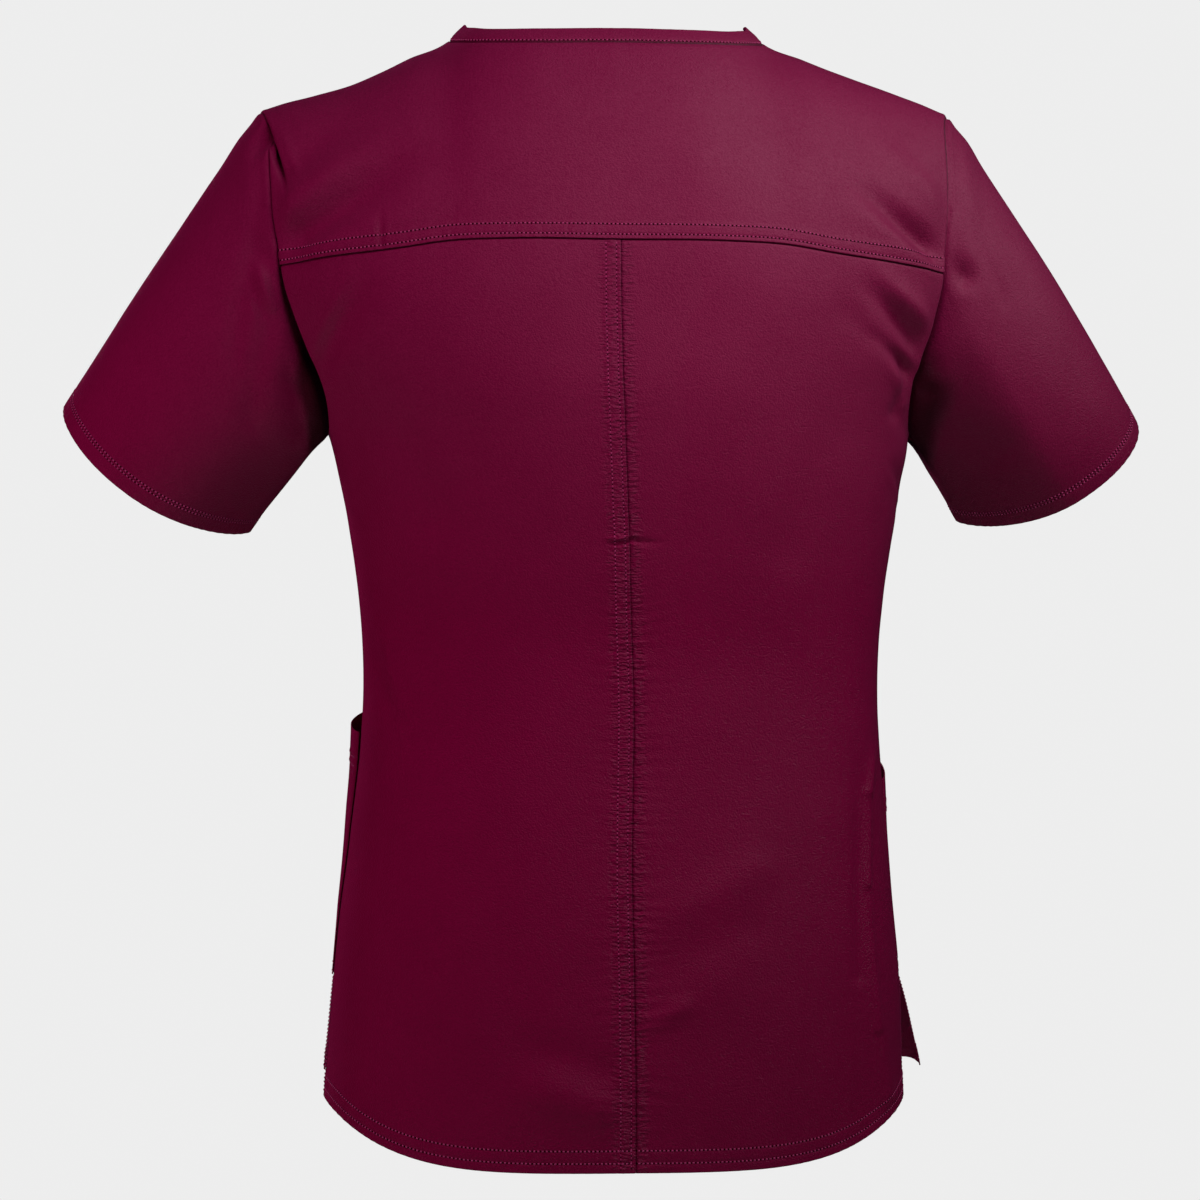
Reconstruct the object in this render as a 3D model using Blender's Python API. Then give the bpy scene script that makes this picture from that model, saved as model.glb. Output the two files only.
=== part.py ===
# A short-sleeved scrub top, filled out as if it were worn, with nobody inside. Every panel is a wall of
# cloth on one smooth form: sections give the trunk its widths and depths, an arch carries it over the
# shoulders, and sleeves run from the armholes to the cuffs. Neighbouring panels share their seam's points.
# Sizes are in millimetres: +Z is up, the front faces -Y and the wearer's left is +X. The origin lies midway
# between the two points where the shoulder ridges meet the neck.

import math

import bpy
import numpy as np

METRES = 0.001

WALL = 1.2  # cloth thickness
SEAM_GAP = 0.3  # between neighbouring panels, and under a patch pocket

CORNER_POWER = 2.3  # sections are superellipses: 2 is an ellipse, more is squarer
SHOULDER_SEAM_FORWARD = 25  # from the shoulder ridge to the yoke's front seam
NECK_PLANE_FALL = 0.12  # the back neckline falls this much for each millimetre towards the back
NECK_POINT = 0.432  # where it crosses the shoulder ridge, as a share of the half width
FRONT_NECK_POINT = 0.424  # where it crosses the yoke's front seam
V_POINT_Z = -168
V_BOW = 0.93  # under 1 bows the sides of the V outwards
BAND_WIDTH = 15
YOKE_SEAM_Z = -144.5  # at the middle of the back
YOKE_SEAM_TILT = -1.8  # how much lower it is at the wearer's right armhole, and higher at the left
UNDERARM_Z = -271
VENT_TOP_Z = -642  # the pockets end here too
BACK_HEM_Z = -765
BACK_HEM_RISE = 40  # the tail's rounded sides climb this far to the vents
FRONT_HEM_Z = -722
FRONT_HEM_RISE = 14
SEAM_DRIFT = -4  # the centre back seam wanders this far to the wearer's right by the hem
POCKET_INNER_COLUMN = 4  # columns of the front between its middle and a pocket
POCKET_EASE = 3  # how far the middle of a pocket stands off the front below its mouth
FOLD_FADE = 20  # folds fade out over this depth from the sides
STEEPEST_SEAM = 0.62  # the front seam turns no further than the arcsine of this, near the sides


def table(names, *rows):
    return dict(zip(names.split(), np.array(rows, float).T))


# The trunk's level sections. Above the underarms the half width is that of the form that the armholes cut.
SECTIONS = table(
    "z    half   back  front  lean",
    (-800, 200.5, 127, 122, -6),
    (-725, 199.0, 126, 121, -6),
    (-640, 194.0, 119, 118, -8.5),
    (-545, 184.0, 107, 113, -10),
    (-480, 179.0, 100, 109, -11.5),
    (-420, 178.0, 98, 108, -12),
    (-350, 185.5, 106, 111, -12),
    (-300, 194.5, 114, 115, -11.5),
    (-271, 201.0, 118, 116, -10),
    (-248, 209.5, 121, 117, -8),
    (-215, 228.0, 122, 117, -6),
    (-180, 241.0, 122, 115, -4),
    (-130, 248.0, 120, 112, -2),
    (-60, 251.0, 116, 106, -1),
    (60, 251.0, 110, 100, -1),
)

# The height of each shoulder's ridge, by the share of the half width at which it is crossed, and how far
# below it the cloth has turned upright at the back and at the front.
SHOULDERS = table(
    "share left right back front",
    (0.00, 36.0, 36.0, 200, 190),
    (0.25, 29.0, 29.0, 198, 188),
    (0.38, 11.5, 11.8, 192, 184),
    (0.44, -1.2, -0.4, 188, 180),
    (0.54, -11.5, -10.2, 180, 174),
    (0.61, -20.5, -17.2, 172, 168),
    (0.70, -31.0, -25.8, 162, 160),
    (0.80, -38.5, -34.5, 150, 150),
    (0.90, -45.5, -43.5, 137, 140),
    (0.95, -50.5, -49.5, 130, 134),
    (1.00, -60.0, -60.0, 122, 126),
)

# How far the yoke's back seam falls, by the share of the half width.
YOKE_SEAM = table("share fall", (0, 0), (0.3, 0), (0.45, 1.5), (0.6, 6.5), (0.78, 11.5), (0.93, 16), (1, 18))

# The armhole's edge, as an angle round the trunk from its side: 0 degrees is the side, 90 the middle.
# turn is how far the cloth has come over the shoulder, in radians. Below the last row it rounds off.
ARMHOLE = table(
    "turn back front",
    (0.0, 20.5, 20.5),
    (0.45, 23.6, 25.5),
    (0.9, 24.2, 28.0),
    (1.6, 24.4, 29.0),
)

# Along the neckline, in shares of the way from the middle of the back to the point of the V: how far the
# band stands away from the cloth's own slope, in degrees, outwards.
BAND_TILT = table(
    "way tilt",
    (0.0, -12),
    (0.3, -6),
    (0.42, 8),
    (0.6, 3),
    (1.0, 0),
)

# Each cuff is an oval: its middle, the lean of its long axis, its half sizes, and how far its back edge
# runs on past its middle. top and pit pinch its upper and lower ends: 1 is round and 2 is a point.
CUFFS = {
    "left": table("x y z rise long deep run_on top pit", (307.5, -42, -293, 34.5, 77.5, 59, 27, 1.15, 1.5)),
    "right": table("x y z rise long deep run_on top pit", (-315, -46, -290, 33, 71, 60, 31, 0.85, 1.5)),
}
# The way each sleeve leaves its armhole, at the shoulder's tip and at the underarm.
SLEEVE_START = {
    "left": table("x y z", (0.57, -0.10, -0.81), (0.60, -0.10, -0.79)),
    "right": table("x y z", (-0.56, -0.10, -0.82), (-0.72, -0.10, -0.68)),
}

# Pocket mouths: their height at the side seam and at the middle of the front, and how far they gape.
POCKETS = {
    "left": table("side middle gape", (-476, -430, 13)),
    "right": table("side middle gape", (-509, -430, 10)),
}

# Flare of the front's vent edges at the hem: outwards and forwards.
VENT_FLARE = {"left": (1, -8), "right": (17, -16)}

# The largest folds. Each is a soft trough, or a ridge where its depth is negative, from one end to the
# other, on the back or the front.
FOLDS = table(
    "face  x0   z0    x1    z1  width depth",
    (1, -196, -118, -234, -150, 13, 5.0),
    (1, 172, -112, 222, -140, 16, 4.0),
    (1, -196, -176, -218, -202, 12, 5.0),
    (1, -201, -160, -224, -186, 9, -3.0),
    (1, -186, -214, -216, -246, 13, 4.0),
    (1, 176, -174, 202, -226, 14, 3.0),
    (1, -196, -292, -208, -318, 9, 3.5),
    (-1, 120, -150, 200, -236, 20, 5.0),
    (-1, -112, -158, -198, -232, 20, 4.5),
    (-1, 150, -60, 196, -150, 18, 3.0),
    (-1, -150, -64, -198, -146, 18, 3.5),
)

ROWS_YOKE = 12  # from the yoke seam to the neckline or the front seam
COLUMNS_SHOULDER = 6  # along the front seam
COLUMNS_NECK = 11  # along half the neckline
ROWS_ARMHOLE_BACK = 8
ROWS_ARMHOLE_FRONT = 12
ROWS_SIDE = 10  # from the underarm to the pocket's mouth
ROWS_POCKET = 8
ROWS_VENT = 4
ROWS_SLEEVE = 11
ROWS_BAND = 2
ROW_FALL = 66  # how far the row that leaves the underarm falls on its way to the panel's middle

CLOTH = (0.17, 0.012, 0.045)


def smooth(rows, key, column, at):
    # A cubic through a table's rows, whose slope at each row comes from the rows on either side.
    xs, ys = rows[key], rows[column]
    slopes = np.gradient(ys, xs)
    at = np.clip(at, xs[0], xs[-1])
    i = np.clip(np.searchsorted(xs, at) - 1, 0, len(xs) - 2)
    step = xs[i + 1] - xs[i]
    t = (at - xs[i]) / step
    value = ys[i] * (1 + 2 * t) * (1 - t) ** 2 + ys[i + 1] * t * t * (3 - 2 * t)
    return value + step * t * (1 - t) * (slopes[i] * (1 - t) - slopes[i + 1] * t)


def share(angle):
    cos = np.cos(angle)
    return np.sign(cos) * np.abs(cos) ** (2 / CORNER_POWER)


def angle_at(part):
    return np.arccos(np.sign(part) * np.abs(np.clip(part, -1, 1)) ** (CORNER_POWER / 2))


def arch(part, face):
    # The ridge's height at this share of the width, and the arch's height on the back or the front.
    names = ("left", "right", "back", "front")
    left, right, back, front = (smooth(SHOULDERS, "share", name, np.abs(part)) for name in names)
    return np.where(part > 0, left, right), np.where(face > 0, back, front)


def trunk(angle, turn):
    # A point of the trunk. The angle goes round it, from 0 at the wearer's left side to pi at the right,
    # and the turn goes from 0 on the shoulder ridge down the back, or below 0 down the front.
    part = share(angle)
    ridge, height = arch(part, turn)
    over = np.abs(turn)
    upright = np.minimum(over, math.pi / 2)
    z = ridge - height * (1 - np.cos(upright) + over - upright)
    back, front = (smooth(SECTIONS, "z", name, z) for name in ("back", "front"))
    depth = np.where(turn > 0, back, -front) * np.abs(np.sin(angle)) ** (2 / CORNER_POWER)
    x = smooth(SECTIONS, "z", "lean", z) + smooth(SECTIONS, "z", "half", z) * part
    return np.stack([x, depth * np.sin(upright), z], axis=-1)


def turn_at(angle, z, face):
    # The turn at which the trunk comes down to this height.
    ridge, height = arch(share(angle), face)
    down = np.maximum(ridge - z, 0) / height
    over = np.where(down < 1, np.arccos(1 - np.minimum(down, 1)), math.pi / 2 + down - 1)
    return face * over


def way(angle, turn, segments):
    # A line on the trunk, resampled to even steps along the cloth.
    points = trunk(angle, turn)
    steps = np.linalg.norm(np.diff(points, axis=0), axis=1)
    length = np.concatenate([[0], np.cumsum(steps)])
    at = np.linspace(0, length[-1], segments + 1)
    return np.stack([np.interp(at, length, angle), np.interp(at, length, turn)], axis=-1)


def joined(*ways):
    return np.concatenate([ways[0]] + [w[1:] for w in ways[1:]])


def between(top, bottom, start, end, settle=1, power=1):
    # The grid between four lines. Its rows run straight from start to end, except that they take up the
    # bends of the top and the bottom lines, less and less over this share of the way from each.
    start, end = start.copy(), end.copy()
    start[0], start[-1], end[0], end[-1] = top[0], bottom[0], top[-1], bottom[-1]
    u = np.linspace(0, 1, len(top))[None, :, None]
    v = np.linspace(0, 1, len(start))[:, None, None]
    grid = (1 - u) * start[:, None] + u * end[:, None]
    for line, row, gone in ((top, 0, v), (bottom, -1, 1 - v)):
        grid = grid + np.clip(1 - gone / settle, 0, 1) ** power * (line - grid[row])[None]
    return grid


def on_trunk(grid):
    return trunk(grid[..., 0], grid[..., 1])


def panel(face, *lines):
    # A panel of the trunk between four lines, whose rows run at even heights.
    levels = [np.stack([line[:, 0], on_trunk(line)[:, 2]], axis=-1) for line in lines]
    grid = between(*levels, settle=0.25, power=2)
    return trunk(grid[..., 0], turn_at(grid[..., 0], grid[..., 1], face))


DENSE = np.linspace(0, 1, 240)


def on_side(side, angle):
    # An angle from the wearer's left side, or the same from the right.
    return angle if side == "left" else math.pi - angle


def yoke_seam_z(angle):
    part = share(angle)
    return YOKE_SEAM_Z - smooth(YOKE_SEAM, "share", "fall", np.abs(part)) - YOKE_SEAM_TILT * part


def armhole_angle(face, turn):
    column = "back" if face > 0 else "front"
    return np.radians(smooth(ARMHOLE, "turn", column, np.abs(turn)))


def armhole_edge(side, face, start_turn, segments):
    # From a turn near the shoulder down to the underarm, which it reaches as a quarter of an oval.
    bend = ARMHOLE["turn"][-1]
    turns = start_turn + (bend - start_turn) * DENSE
    upper = armhole_angle(face, turns)
    bottom = abs(turn_at(on_side(side, 0.0), UNDERARM_Z, face))
    quarter = DENSE[1:] * math.pi / 2
    angles = np.concatenate([upper, upper[-1] * np.cos(quarter)])
    turns = np.concatenate([turns, bend + (bottom - bend) * np.sin(quarter)])
    return way(on_side(side, angles), face * turns, segments)


def front_seam_turn(angle):
    # Where the front has come this far forward of the ridge.
    depth = SECTIONS["front"][-1] * np.abs(np.sin(angle)) ** (2 / CORNER_POWER)
    return -np.arcsin(np.minimum(SHOULDER_SEAM_FORWARD / depth, STEEPEST_SEAM))


def yoke_seam_turn(angle):
    return turn_at(angle, yoke_seam_z(angle), 1)


def crossing(side, face, seam_turn):
    # The armhole's turn where a seam ends on it: the seam's turn hangs on the angle, and that on the turn.
    turn = 0.5
    for _ in range(30):
        turn = (turn + abs(float(seam_turn(on_side(side, armhole_angle(face, turn)))))) / 2
    return turn


def yoke_seam(side, segments):
    # From the middle of the back to the armhole.
    end = armhole_angle(1, crossing(side, 1, yoke_seam_turn))
    angles = on_side(side, math.pi / 2 + (end - math.pi / 2) * DENSE)
    return way(angles, yoke_seam_turn(angles), segments)


def front_seam(side, segments):
    # From the armhole to the neck.
    start = armhole_angle(-1, crossing(side, -1, front_seam_turn))
    angles = on_side(side, start + (angle_at(FRONT_NECK_POINT) - start) * DENSE)
    return way(angles, front_seam_turn(angles), segments)


def back_neckline(side, segments):
    # From the front seam over the shoulder ridge to the middle of the back. Behind the ridge it lies in a
    # plane: ridge - height (1 - cos turn) = -fall * depth * sin turn, solved for the turn.
    parts = NECK_POINT * np.sqrt(1 - DENSE**2) * (1 if side == "left" else -1)
    ridge, height = arch(parts, 1)
    angles = angle_at(parts)
    depth = SECTIONS["back"][-1] * np.abs(np.sin(angles)) ** (2 / CORNER_POWER)
    lean = np.arctan2(NECK_PLANE_FALL * depth, height)
    size = np.hypot(NECK_PLANE_FALL * depth, height)
    turns = lean + np.arccos(np.clip((height - ridge) / size, -1, 1))
    start = on_side(side, angle_at(FRONT_NECK_POINT))
    before = DENSE[:-1]
    first_angles = start + (angles[0] - start) * np.sin(before * math.pi / 2)
    first_turns = front_seam_turn(start) + (turns[0] - front_seam_turn(start)) * before
    return way(np.concatenate([first_angles, angles]), np.concatenate([first_turns, turns]), segments)


def v_neckline(side, segments):
    # From the front seam to the point of the V.
    start = on_side(side, angle_at(FRONT_NECK_POINT))
    top = trunk(start, front_seam_turn(start))
    x = top[0] * (1 - DENSE)
    z = top[2] + (V_POINT_Z - top[2]) * DENSE**V_BOW
    angles = angle_at(x / smooth(SECTIONS, "z", "half", z))
    return way(angles, turn_at(angles, z, -1), segments)


def side_rows(side):
    # Heights down the side seam, the same for the front and the back that meet there.
    mouth = POCKETS[side]["side"][0]
    upper = np.linspace(UNDERARM_Z, mouth, ROWS_SIDE + 1)
    lower = np.linspace(mouth, VENT_TOP_Z, ROWS_POCKET + 1)
    return np.concatenate([upper, lower[1:]])


def upright(angles, heights, face):
    angles = np.broadcast_to(angles, heights.shape)
    return np.stack([angles, turn_at(angles, heights, face)], axis=-1)


def hem_line(side, face, z, rise, segments):
    # From the middle to the side, rising towards the vent.
    angles = on_side(side, math.pi / 2 * (1 - DENSE))
    return way(angles, turn_at(angles, z + rise * np.cos(angles) ** 4, face), segments)


def side_edge(side, face, seam_turn, armhole_rows, hem_z):
    # Down the armhole, the side seam and the vent.
    heights = side_rows(side)
    vent = np.linspace(heights[-1], hem_z, ROWS_VENT + 1)
    lower = upright(on_side(side, 0.0), np.concatenate([heights, vent[1:]]), face)
    return joined(armhole_edge(side, face, crossing(side, face, seam_turn), armhole_rows), lower)


def middle_rows(*stretches):
    # Heights down the middle of a panel: rows of (top, bottom, number of rows).
    parts = [np.linspace(top, bottom, count + 1)[1:] for top, bottom, count in stretches]
    return np.concatenate([[stretches[0][0]]] + parts)


def back_half(side):
    columns = COLUMNS_SHOULDER + COLUMNS_NECK
    level = middle_rows(
        (YOKE_SEAM_Z, UNDERARM_Z - ROW_FALL, ROWS_ARMHOLE_BACK),
        (UNDERARM_Z - ROW_FALL, VENT_TOP_Z, ROWS_SIDE + ROWS_POCKET),
        (VENT_TOP_Z, BACK_HEM_Z, ROWS_VENT),
    )
    drift = SEAM_DRIFT * (level - YOKE_SEAM_Z) / (BACK_HEM_Z - YOKE_SEAM_Z)
    middle = upright(angle_at(drift / smooth(SECTIONS, "z", "half", level)), level, 1)
    edge = side_edge(side, 1, yoke_seam_turn, ROWS_ARMHOLE_BACK, BACK_HEM_Z + BACK_HEM_RISE)
    top = yoke_seam(side, columns)
    bottom = hem_line(side, 1, BACK_HEM_Z, BACK_HEM_RISE, columns)
    bottom[0] = middle[-1]
    grid = panel(1, top, bottom, middle, edge)
    return grid if side == "left" else grid[:, ::-1]


def front_half(side):
    columns = COLUMNS_SHOULDER + COLUMNS_NECK
    level = middle_rows(
        (V_POINT_Z, UNDERARM_Z - ROW_FALL, ROWS_ARMHOLE_FRONT),
        (UNDERARM_Z - ROW_FALL, POCKETS[side]["middle"][0], ROWS_SIDE),
        (POCKETS[side]["middle"][0], VENT_TOP_Z, ROWS_POCKET),
        (VENT_TOP_Z, FRONT_HEM_Z, ROWS_VENT),
    )
    middle = upright(math.pi / 2, level, -1)
    edge = side_edge(side, -1, front_seam_turn, ROWS_ARMHOLE_FRONT, FRONT_HEM_Z + FRONT_HEM_RISE)
    top = joined(front_seam(side, COLUMNS_SHOULDER), v_neckline(side, COLUMNS_NECK))[::-1]
    bottom = hem_line(side, -1, FRONT_HEM_Z, FRONT_HEM_RISE, columns)
    return panel(-1, top, bottom, middle, edge)


def front():
    left, right = front_half("left"), front_half("right")
    vent = ROWS_ARMHOLE_FRONT + ROWS_SIDE + ROWS_POCKET
    for half, side in ((left, "left"), (right, "right")):
        # Below the vents the side edge swings out and forwards, and the cloth follows it for a few columns.
        out, forward = VENT_FLARE[side]
        below = np.linspace(0, 1, ROWS_VENT + 1)[:, None] ** 0.85
        near = np.linspace(0, 1, half.shape[1])[None, :] ** 4
        half[vent:, :, 0] += (out if side == "left" else -out) * below * near
        half[vent:, :, 1] += forward * below * near
    return np.concatenate([left[:, ::-1], right[:, 1:]], axis=1)


def yoke():
    tops, bottoms, ends = [], [], []
    for side in ("left", "right"):
        neckline = back_neckline(side, COLUMNS_NECK)
        tops.append(joined(front_seam(side, COLUMNS_SHOULDER), neckline))
        bottoms.append(yoke_seam(side, COLUMNS_SHOULDER + COLUMNS_NECK))
        start, stop = -crossing(side, -1, front_seam_turn), crossing(side, 1, yoke_seam_turn)
        turns = start + (stop - start) * DENSE
        angles = np.where(turns > 0, armhole_angle(1, turns), armhole_angle(-1, turns))
        ends.append(way(on_side(side, angles), turns, ROWS_YOKE))
    top = joined(tops[1], tops[0][::-1])
    bottom = joined(bottoms[1][::-1], bottoms[0])
    return on_trunk(between(top, bottom, ends[1], ends[0]))


def armhole_loop(pieces, side):
    # The armhole's points from the shoulder tip down the back to the underarm and up the front.
    last, first = (-1, 0) if side == "left" else (0, -1)
    over = pieces["yoke"][:, last]
    down = pieces["back_" + side][: ROWS_ARMHOLE_BACK + 1, last]
    up = pieces["front"][: ROWS_ARMHOLE_FRONT + 1, first][::-1]
    return np.concatenate([over, down[1:], up[1:-1]])


def cuff_loop(side, turns):
    cuff = {name: values[0] for name, values in CUFFS[side].items()}
    out = 1 if side == "left" else -1
    rise = math.radians(cuff["rise"])
    long_way = np.array([out * math.cos(rise), 0, math.sin(rise)])
    along = np.array([out * math.sin(rise), 0, -math.cos(rise)])
    deep = math.sqrt(cuff["deep"] ** 2 - cuff["run_on"] ** 2)
    back = np.array([0, deep, 0]) + cuff["run_on"] * along
    middle = np.array([cuff["x"], cuff["y"], cuff["z"]])
    cos, sin = np.cos(turns)[:, None], np.sin(turns)[:, None]
    sin = np.sign(sin) * np.abs(sin) ** np.where(cos > 0, cuff["top"], cuff["pit"])
    return middle + cos * cuff["long"] * long_way + sin * back


def sleeve(pieces, side):
    start = armhole_loop(pieces, side)
    closed = np.concatenate([start, start[:1]])
    steps = np.linalg.norm(np.diff(closed, axis=0), axis=1)
    length = np.concatenate([[0], np.cumsum(steps)])
    # The tip of the shoulder is the loop's highest point, and the underarm is its lowest.
    tip, pit = length[np.argmax(start[:, 2])], length[np.argmin(start[:, 2])]
    at = length[:-1] - tip
    front_half_length = length[-1] - (pit - tip)
    turns = np.where(at < 0, at / front_half_length, at / (pit - tip))
    turns = math.pi * np.where(at > pit - tip, 1 + (at - pit + tip) / front_half_length, turns)
    end = cuff_loop(side, turns)
    reach = np.linalg.norm(end - start, axis=1)[:, None]
    tip_way, pit_way = np.array(list(SLEEVE_START[side].values())).T
    toward_tip = (1 + np.cos(turns))[:, None] / 2
    leave = (toward_tip * tip_way + (1 - toward_tip) * pit_way) * reach
    cuff = {name: values[0] for name, values in CUFFS[side].items()}
    rise = math.radians(cuff["rise"])
    forward = -cuff["run_on"] / cuff["deep"]
    across = math.sqrt(1 - forward**2)
    out = 1 if side == "left" else -1
    arrive = np.array([out * math.sin(rise) * across, forward, -math.cos(rise) * across]) * reach
    rows = []
    for t in np.linspace(0, 1, ROWS_SLEEVE + 1):
        bend = start * (1 + 2 * t) * (1 - t) ** 2 + end * t * t * (3 - 2 * t)
        rows.append(bend + t * (1 - t) * (leave * (1 - t) - arrive * t))
    rows = np.array(rows)
    return rows[:, ::-1] if side == "left" else rows


def neckband(pieces):
    # A strip that stands on the neckline, closed round the neck and mitred at the point of the V.
    neck = slice(COLUMNS_SHOULDER, -COLUMNS_SHOULDER)
    back, v = pieces["yoke"][:2, neck], pieces["front"][:2, neck]
    line = np.concatenate([back[0], v[0, 1:-1]])
    across = line - np.concatenate([back[1], v[1, 1:-1]])
    ahead, behind = np.roll(line, -1, axis=0) - line, line - np.roll(line, 1, axis=0)
    sides = []
    for step in (ahead, behind):
        step = unit(step)
        sides.append(unit(across - (across * step).sum(1, keepdims=True) * step))
    middle = unit(sides[0] + sides[1])
    mitre = 1 / (sides[0] * middle).sum(1, keepdims=True)
    outward = unit(np.cross(unit(unit(ahead) + unit(behind)), middle))
    outward = outward * np.sign((outward * (line - [0, 0, -300])).sum(1, keepdims=True))
    length = np.concatenate([[0], np.cumsum(np.linalg.norm(ahead, axis=1))])
    middle_back = length[COLUMNS_NECK]
    point = length[3 * COLUMNS_NECK]
    gone = np.abs(length[:-1] - middle_back)
    gone = np.minimum(gone, length[-1] - gone) / (point - middle_back)
    tilt = np.radians(smooth(BAND_TILT, "way", "tilt", gone))[:, None]
    stand = middle * mitre * np.cos(tilt) + outward * np.sin(tilt)
    return np.array([line + stand * BAND_WIDTH * t for t in np.linspace(1, 0, ROWS_BAND + 1)])


def unit(vectors):
    return vectors / np.maximum(np.linalg.norm(vectors, axis=-1, keepdims=True), 1e-12)


def grid_normals(grid, closed):
    # Each point's normal, from its neighbours along the rows and the columns.
    down = np.gradient(grid, axis=0)
    if closed:
        along = np.roll(grid, -1, axis=1) - np.roll(grid, 1, axis=1)
    else:
        along = np.gradient(grid, axis=1)
    return unit(np.cross(along, down))


def key(point):
    return tuple(int(round(value * 1000)) for value in point)


def family(name):
    return "trunk" if name in ("yoke", "front", "back_left", "back_right") else name


def shared_normals(pieces, closed):
    # At a seam the pieces that meet there take the middle of their normals, so that their walls are mitred.
    # The trunk's panels count as one, so that a sleeve's wall meets two of them as evenly as it meets one.
    normals = {name: grid_normals(grid, name in closed) for name, grid in pieces.items()}
    met = {}
    for name, grid in pieces.items():
        for point, normal in zip(grid.reshape(-1, 3), normals[name].reshape(-1, 3)):
            met.setdefault(key(point), {}).setdefault(family(name), {}).setdefault(name, []).append(normal)
    for name, grid in pieces.items():
        flat = normals[name].reshape(-1, 3)
        for i, point in enumerate(grid.reshape(-1, 3)):
            groups = met[key(point)].values()
            own = [unit(sum(unit(sum(values)) for values in group.values())) for group in groups]
            flat[i] = unit(sum(own))
    return normals


def fold_depth(points):
    # How far the folds push the cloth in at each point.
    depth = np.zeros(points.shape[:-1])
    for face, x0, z0, x1, z1, width, deep in zip(*FOLDS.values()):
        start, run = np.array([x0, z0]), np.array([x1 - x0, z1 - z0])
        away = points[..., [0, 2]] - start
        t = np.clip((away @ run) / (run @ run), 0, 1)
        gap = np.linalg.norm(away - t[..., None] * run, axis=-1)
        fade = np.clip(points[..., 1] * face / FOLD_FADE, 0, 1)
        depth += deep * fade * np.exp(-((gap / width) ** 2))
    return depth


def rims(rows, columns, closed):
    # The grid's edges as loops of point numbers, with the cloth on the side that inset() moves them to.
    index = np.arange(rows * columns).reshape(rows, columns)
    if closed:
        return [index[0, ::-1], index[-1]]
    return [np.concatenate([index[:-1, 0], index[-1, :-1], index[:0:-1, -1], index[0, :0:-1]])]


def inset(grid, normals, closed):
    # The rim's points move half a seam gap into their own panel, square to the wall's rim.
    flat, out = grid.reshape(-1, 3).copy(), normals.reshape(-1, 3)
    for rim in rims(*grid.shape[:2], closed):
        line, normal = grid.reshape(-1, 3)[rim], out[rim]
        ahead = unit(np.cross(np.roll(line, -1, axis=0) - line, normal))
        behind = unit(np.cross(line - np.roll(line, 1, axis=0), normal))
        turn = 1 + (ahead * behind).sum(1, keepdims=True)
        flat[rim] += (ahead + behind) / np.maximum(turn, 0.5) * SEAM_GAP / 2
    return flat.reshape(grid.shape)


def wall_mesh(outer, inner, closed):
    # The points and faces of the wall between two grids, with its rims.
    rows, columns = outer.shape[:2]
    count = rows * columns
    index = np.arange(count).reshape(rows, columns)
    if closed:
        index = np.concatenate([index, index[:, :1]], axis=1)
    a, b, c, d = index[:-1, :-1], index[:-1, 1:], index[1:, 1:], index[1:, :-1]
    outside = np.stack([a, b, c, d], axis=-1).reshape(-1, 4)
    faces = [outside, outside[:, ::-1] + count]
    for rim in rims(rows, columns, closed):
        ahead = np.roll(rim, -1)
        faces.append(np.stack([rim, ahead, ahead + count, rim + count], axis=-1))
    return np.concatenate([outer.reshape(-1, 3), inner.reshape(-1, 3)]), np.concatenate(faces)


def cloth_material(name):
    material = bpy.data.materials.new(name + "_twill")
    material.use_nodes = True
    shader = material.node_tree.nodes["Principled BSDF"]
    shader.inputs["Base Color"].default_value = (*CLOTH, 1)
    shader.inputs["Roughness"].default_value = 0.85
    shader.inputs["Metallic"].default_value = 0
    return material


def add_wall(name, outer, inner, closed=False):
    points, faces = wall_mesh(outer, inner, closed)
    mesh = bpy.data.meshes.new(name)
    mesh.from_pydata((points * METRES).tolist(), [], faces.tolist())
    mesh.shade_smooth()
    mesh.set_sharp_from_angle(angle=math.radians(50))
    mesh.materials.append(cloth_material(name))
    bpy.context.scene.collection.objects.link(bpy.data.objects.new(name, mesh))


def add_pocket(side, grid, normals):
    # A patch on the front's own points, moved out, whose open top gapes most a little way from the seam.
    first = ROWS_ARMHOLE_FRONT + ROWS_SIDE
    rows = slice(first, first + ROWS_POCKET + 1)
    count = COLUMNS_SHOULDER + COLUMNS_NECK - POCKET_INNER_COLUMN
    columns = slice(0, count + 1) if side == "left" else slice(-count - 1, None)
    out = normals[rows, columns]
    base = inset(grid[rows, columns], out, False)
    across = np.linspace(0, 1, count + 1)
    if side == "right":
        across = across[::-1]
    down = np.linspace(0, 1, ROWS_POCKET + 1)[:, None]
    fullness = np.sin(math.pi * across) ** 0.55
    gape = POCKETS[side]["gape"][0] * fullness * (1 - down) ** 1.4
    ease = POCKET_EASE * np.sin(math.pi * across) * np.sin(math.pi * down)
    lift = (SEAM_GAP + gape + ease)[..., None]
    add_wall("pocket_" + side, base + out * (lift + WALL), base + out * lift)


def main():
    for old in list(bpy.data.objects):
        bpy.data.objects.remove(old)
    pieces = {"yoke": yoke(), "front": front()}
    for side in ("left", "right"):
        pieces["back_" + side] = back_half(side)
    for side in ("left", "right"):
        pieces["sleeve_" + side] = sleeve(pieces, side)
    pieces["neckband"] = neckband(pieces)
    closed = {"sleeve_left", "sleeve_right", "neckband"}
    normals = shared_normals(pieces, closed)
    for name, grid in pieces.items():
        pieces[name] = grid - normals[name] * fold_depth(grid)[..., None]
        outer = inset(pieces[name], normals[name], name in closed)
        add_wall(name, outer, outer - normals[name] * WALL, name in closed)
    for side in ("left", "right"):
        add_pocket(side, pieces["front"], normals["front"])


main()
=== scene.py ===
import math

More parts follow.
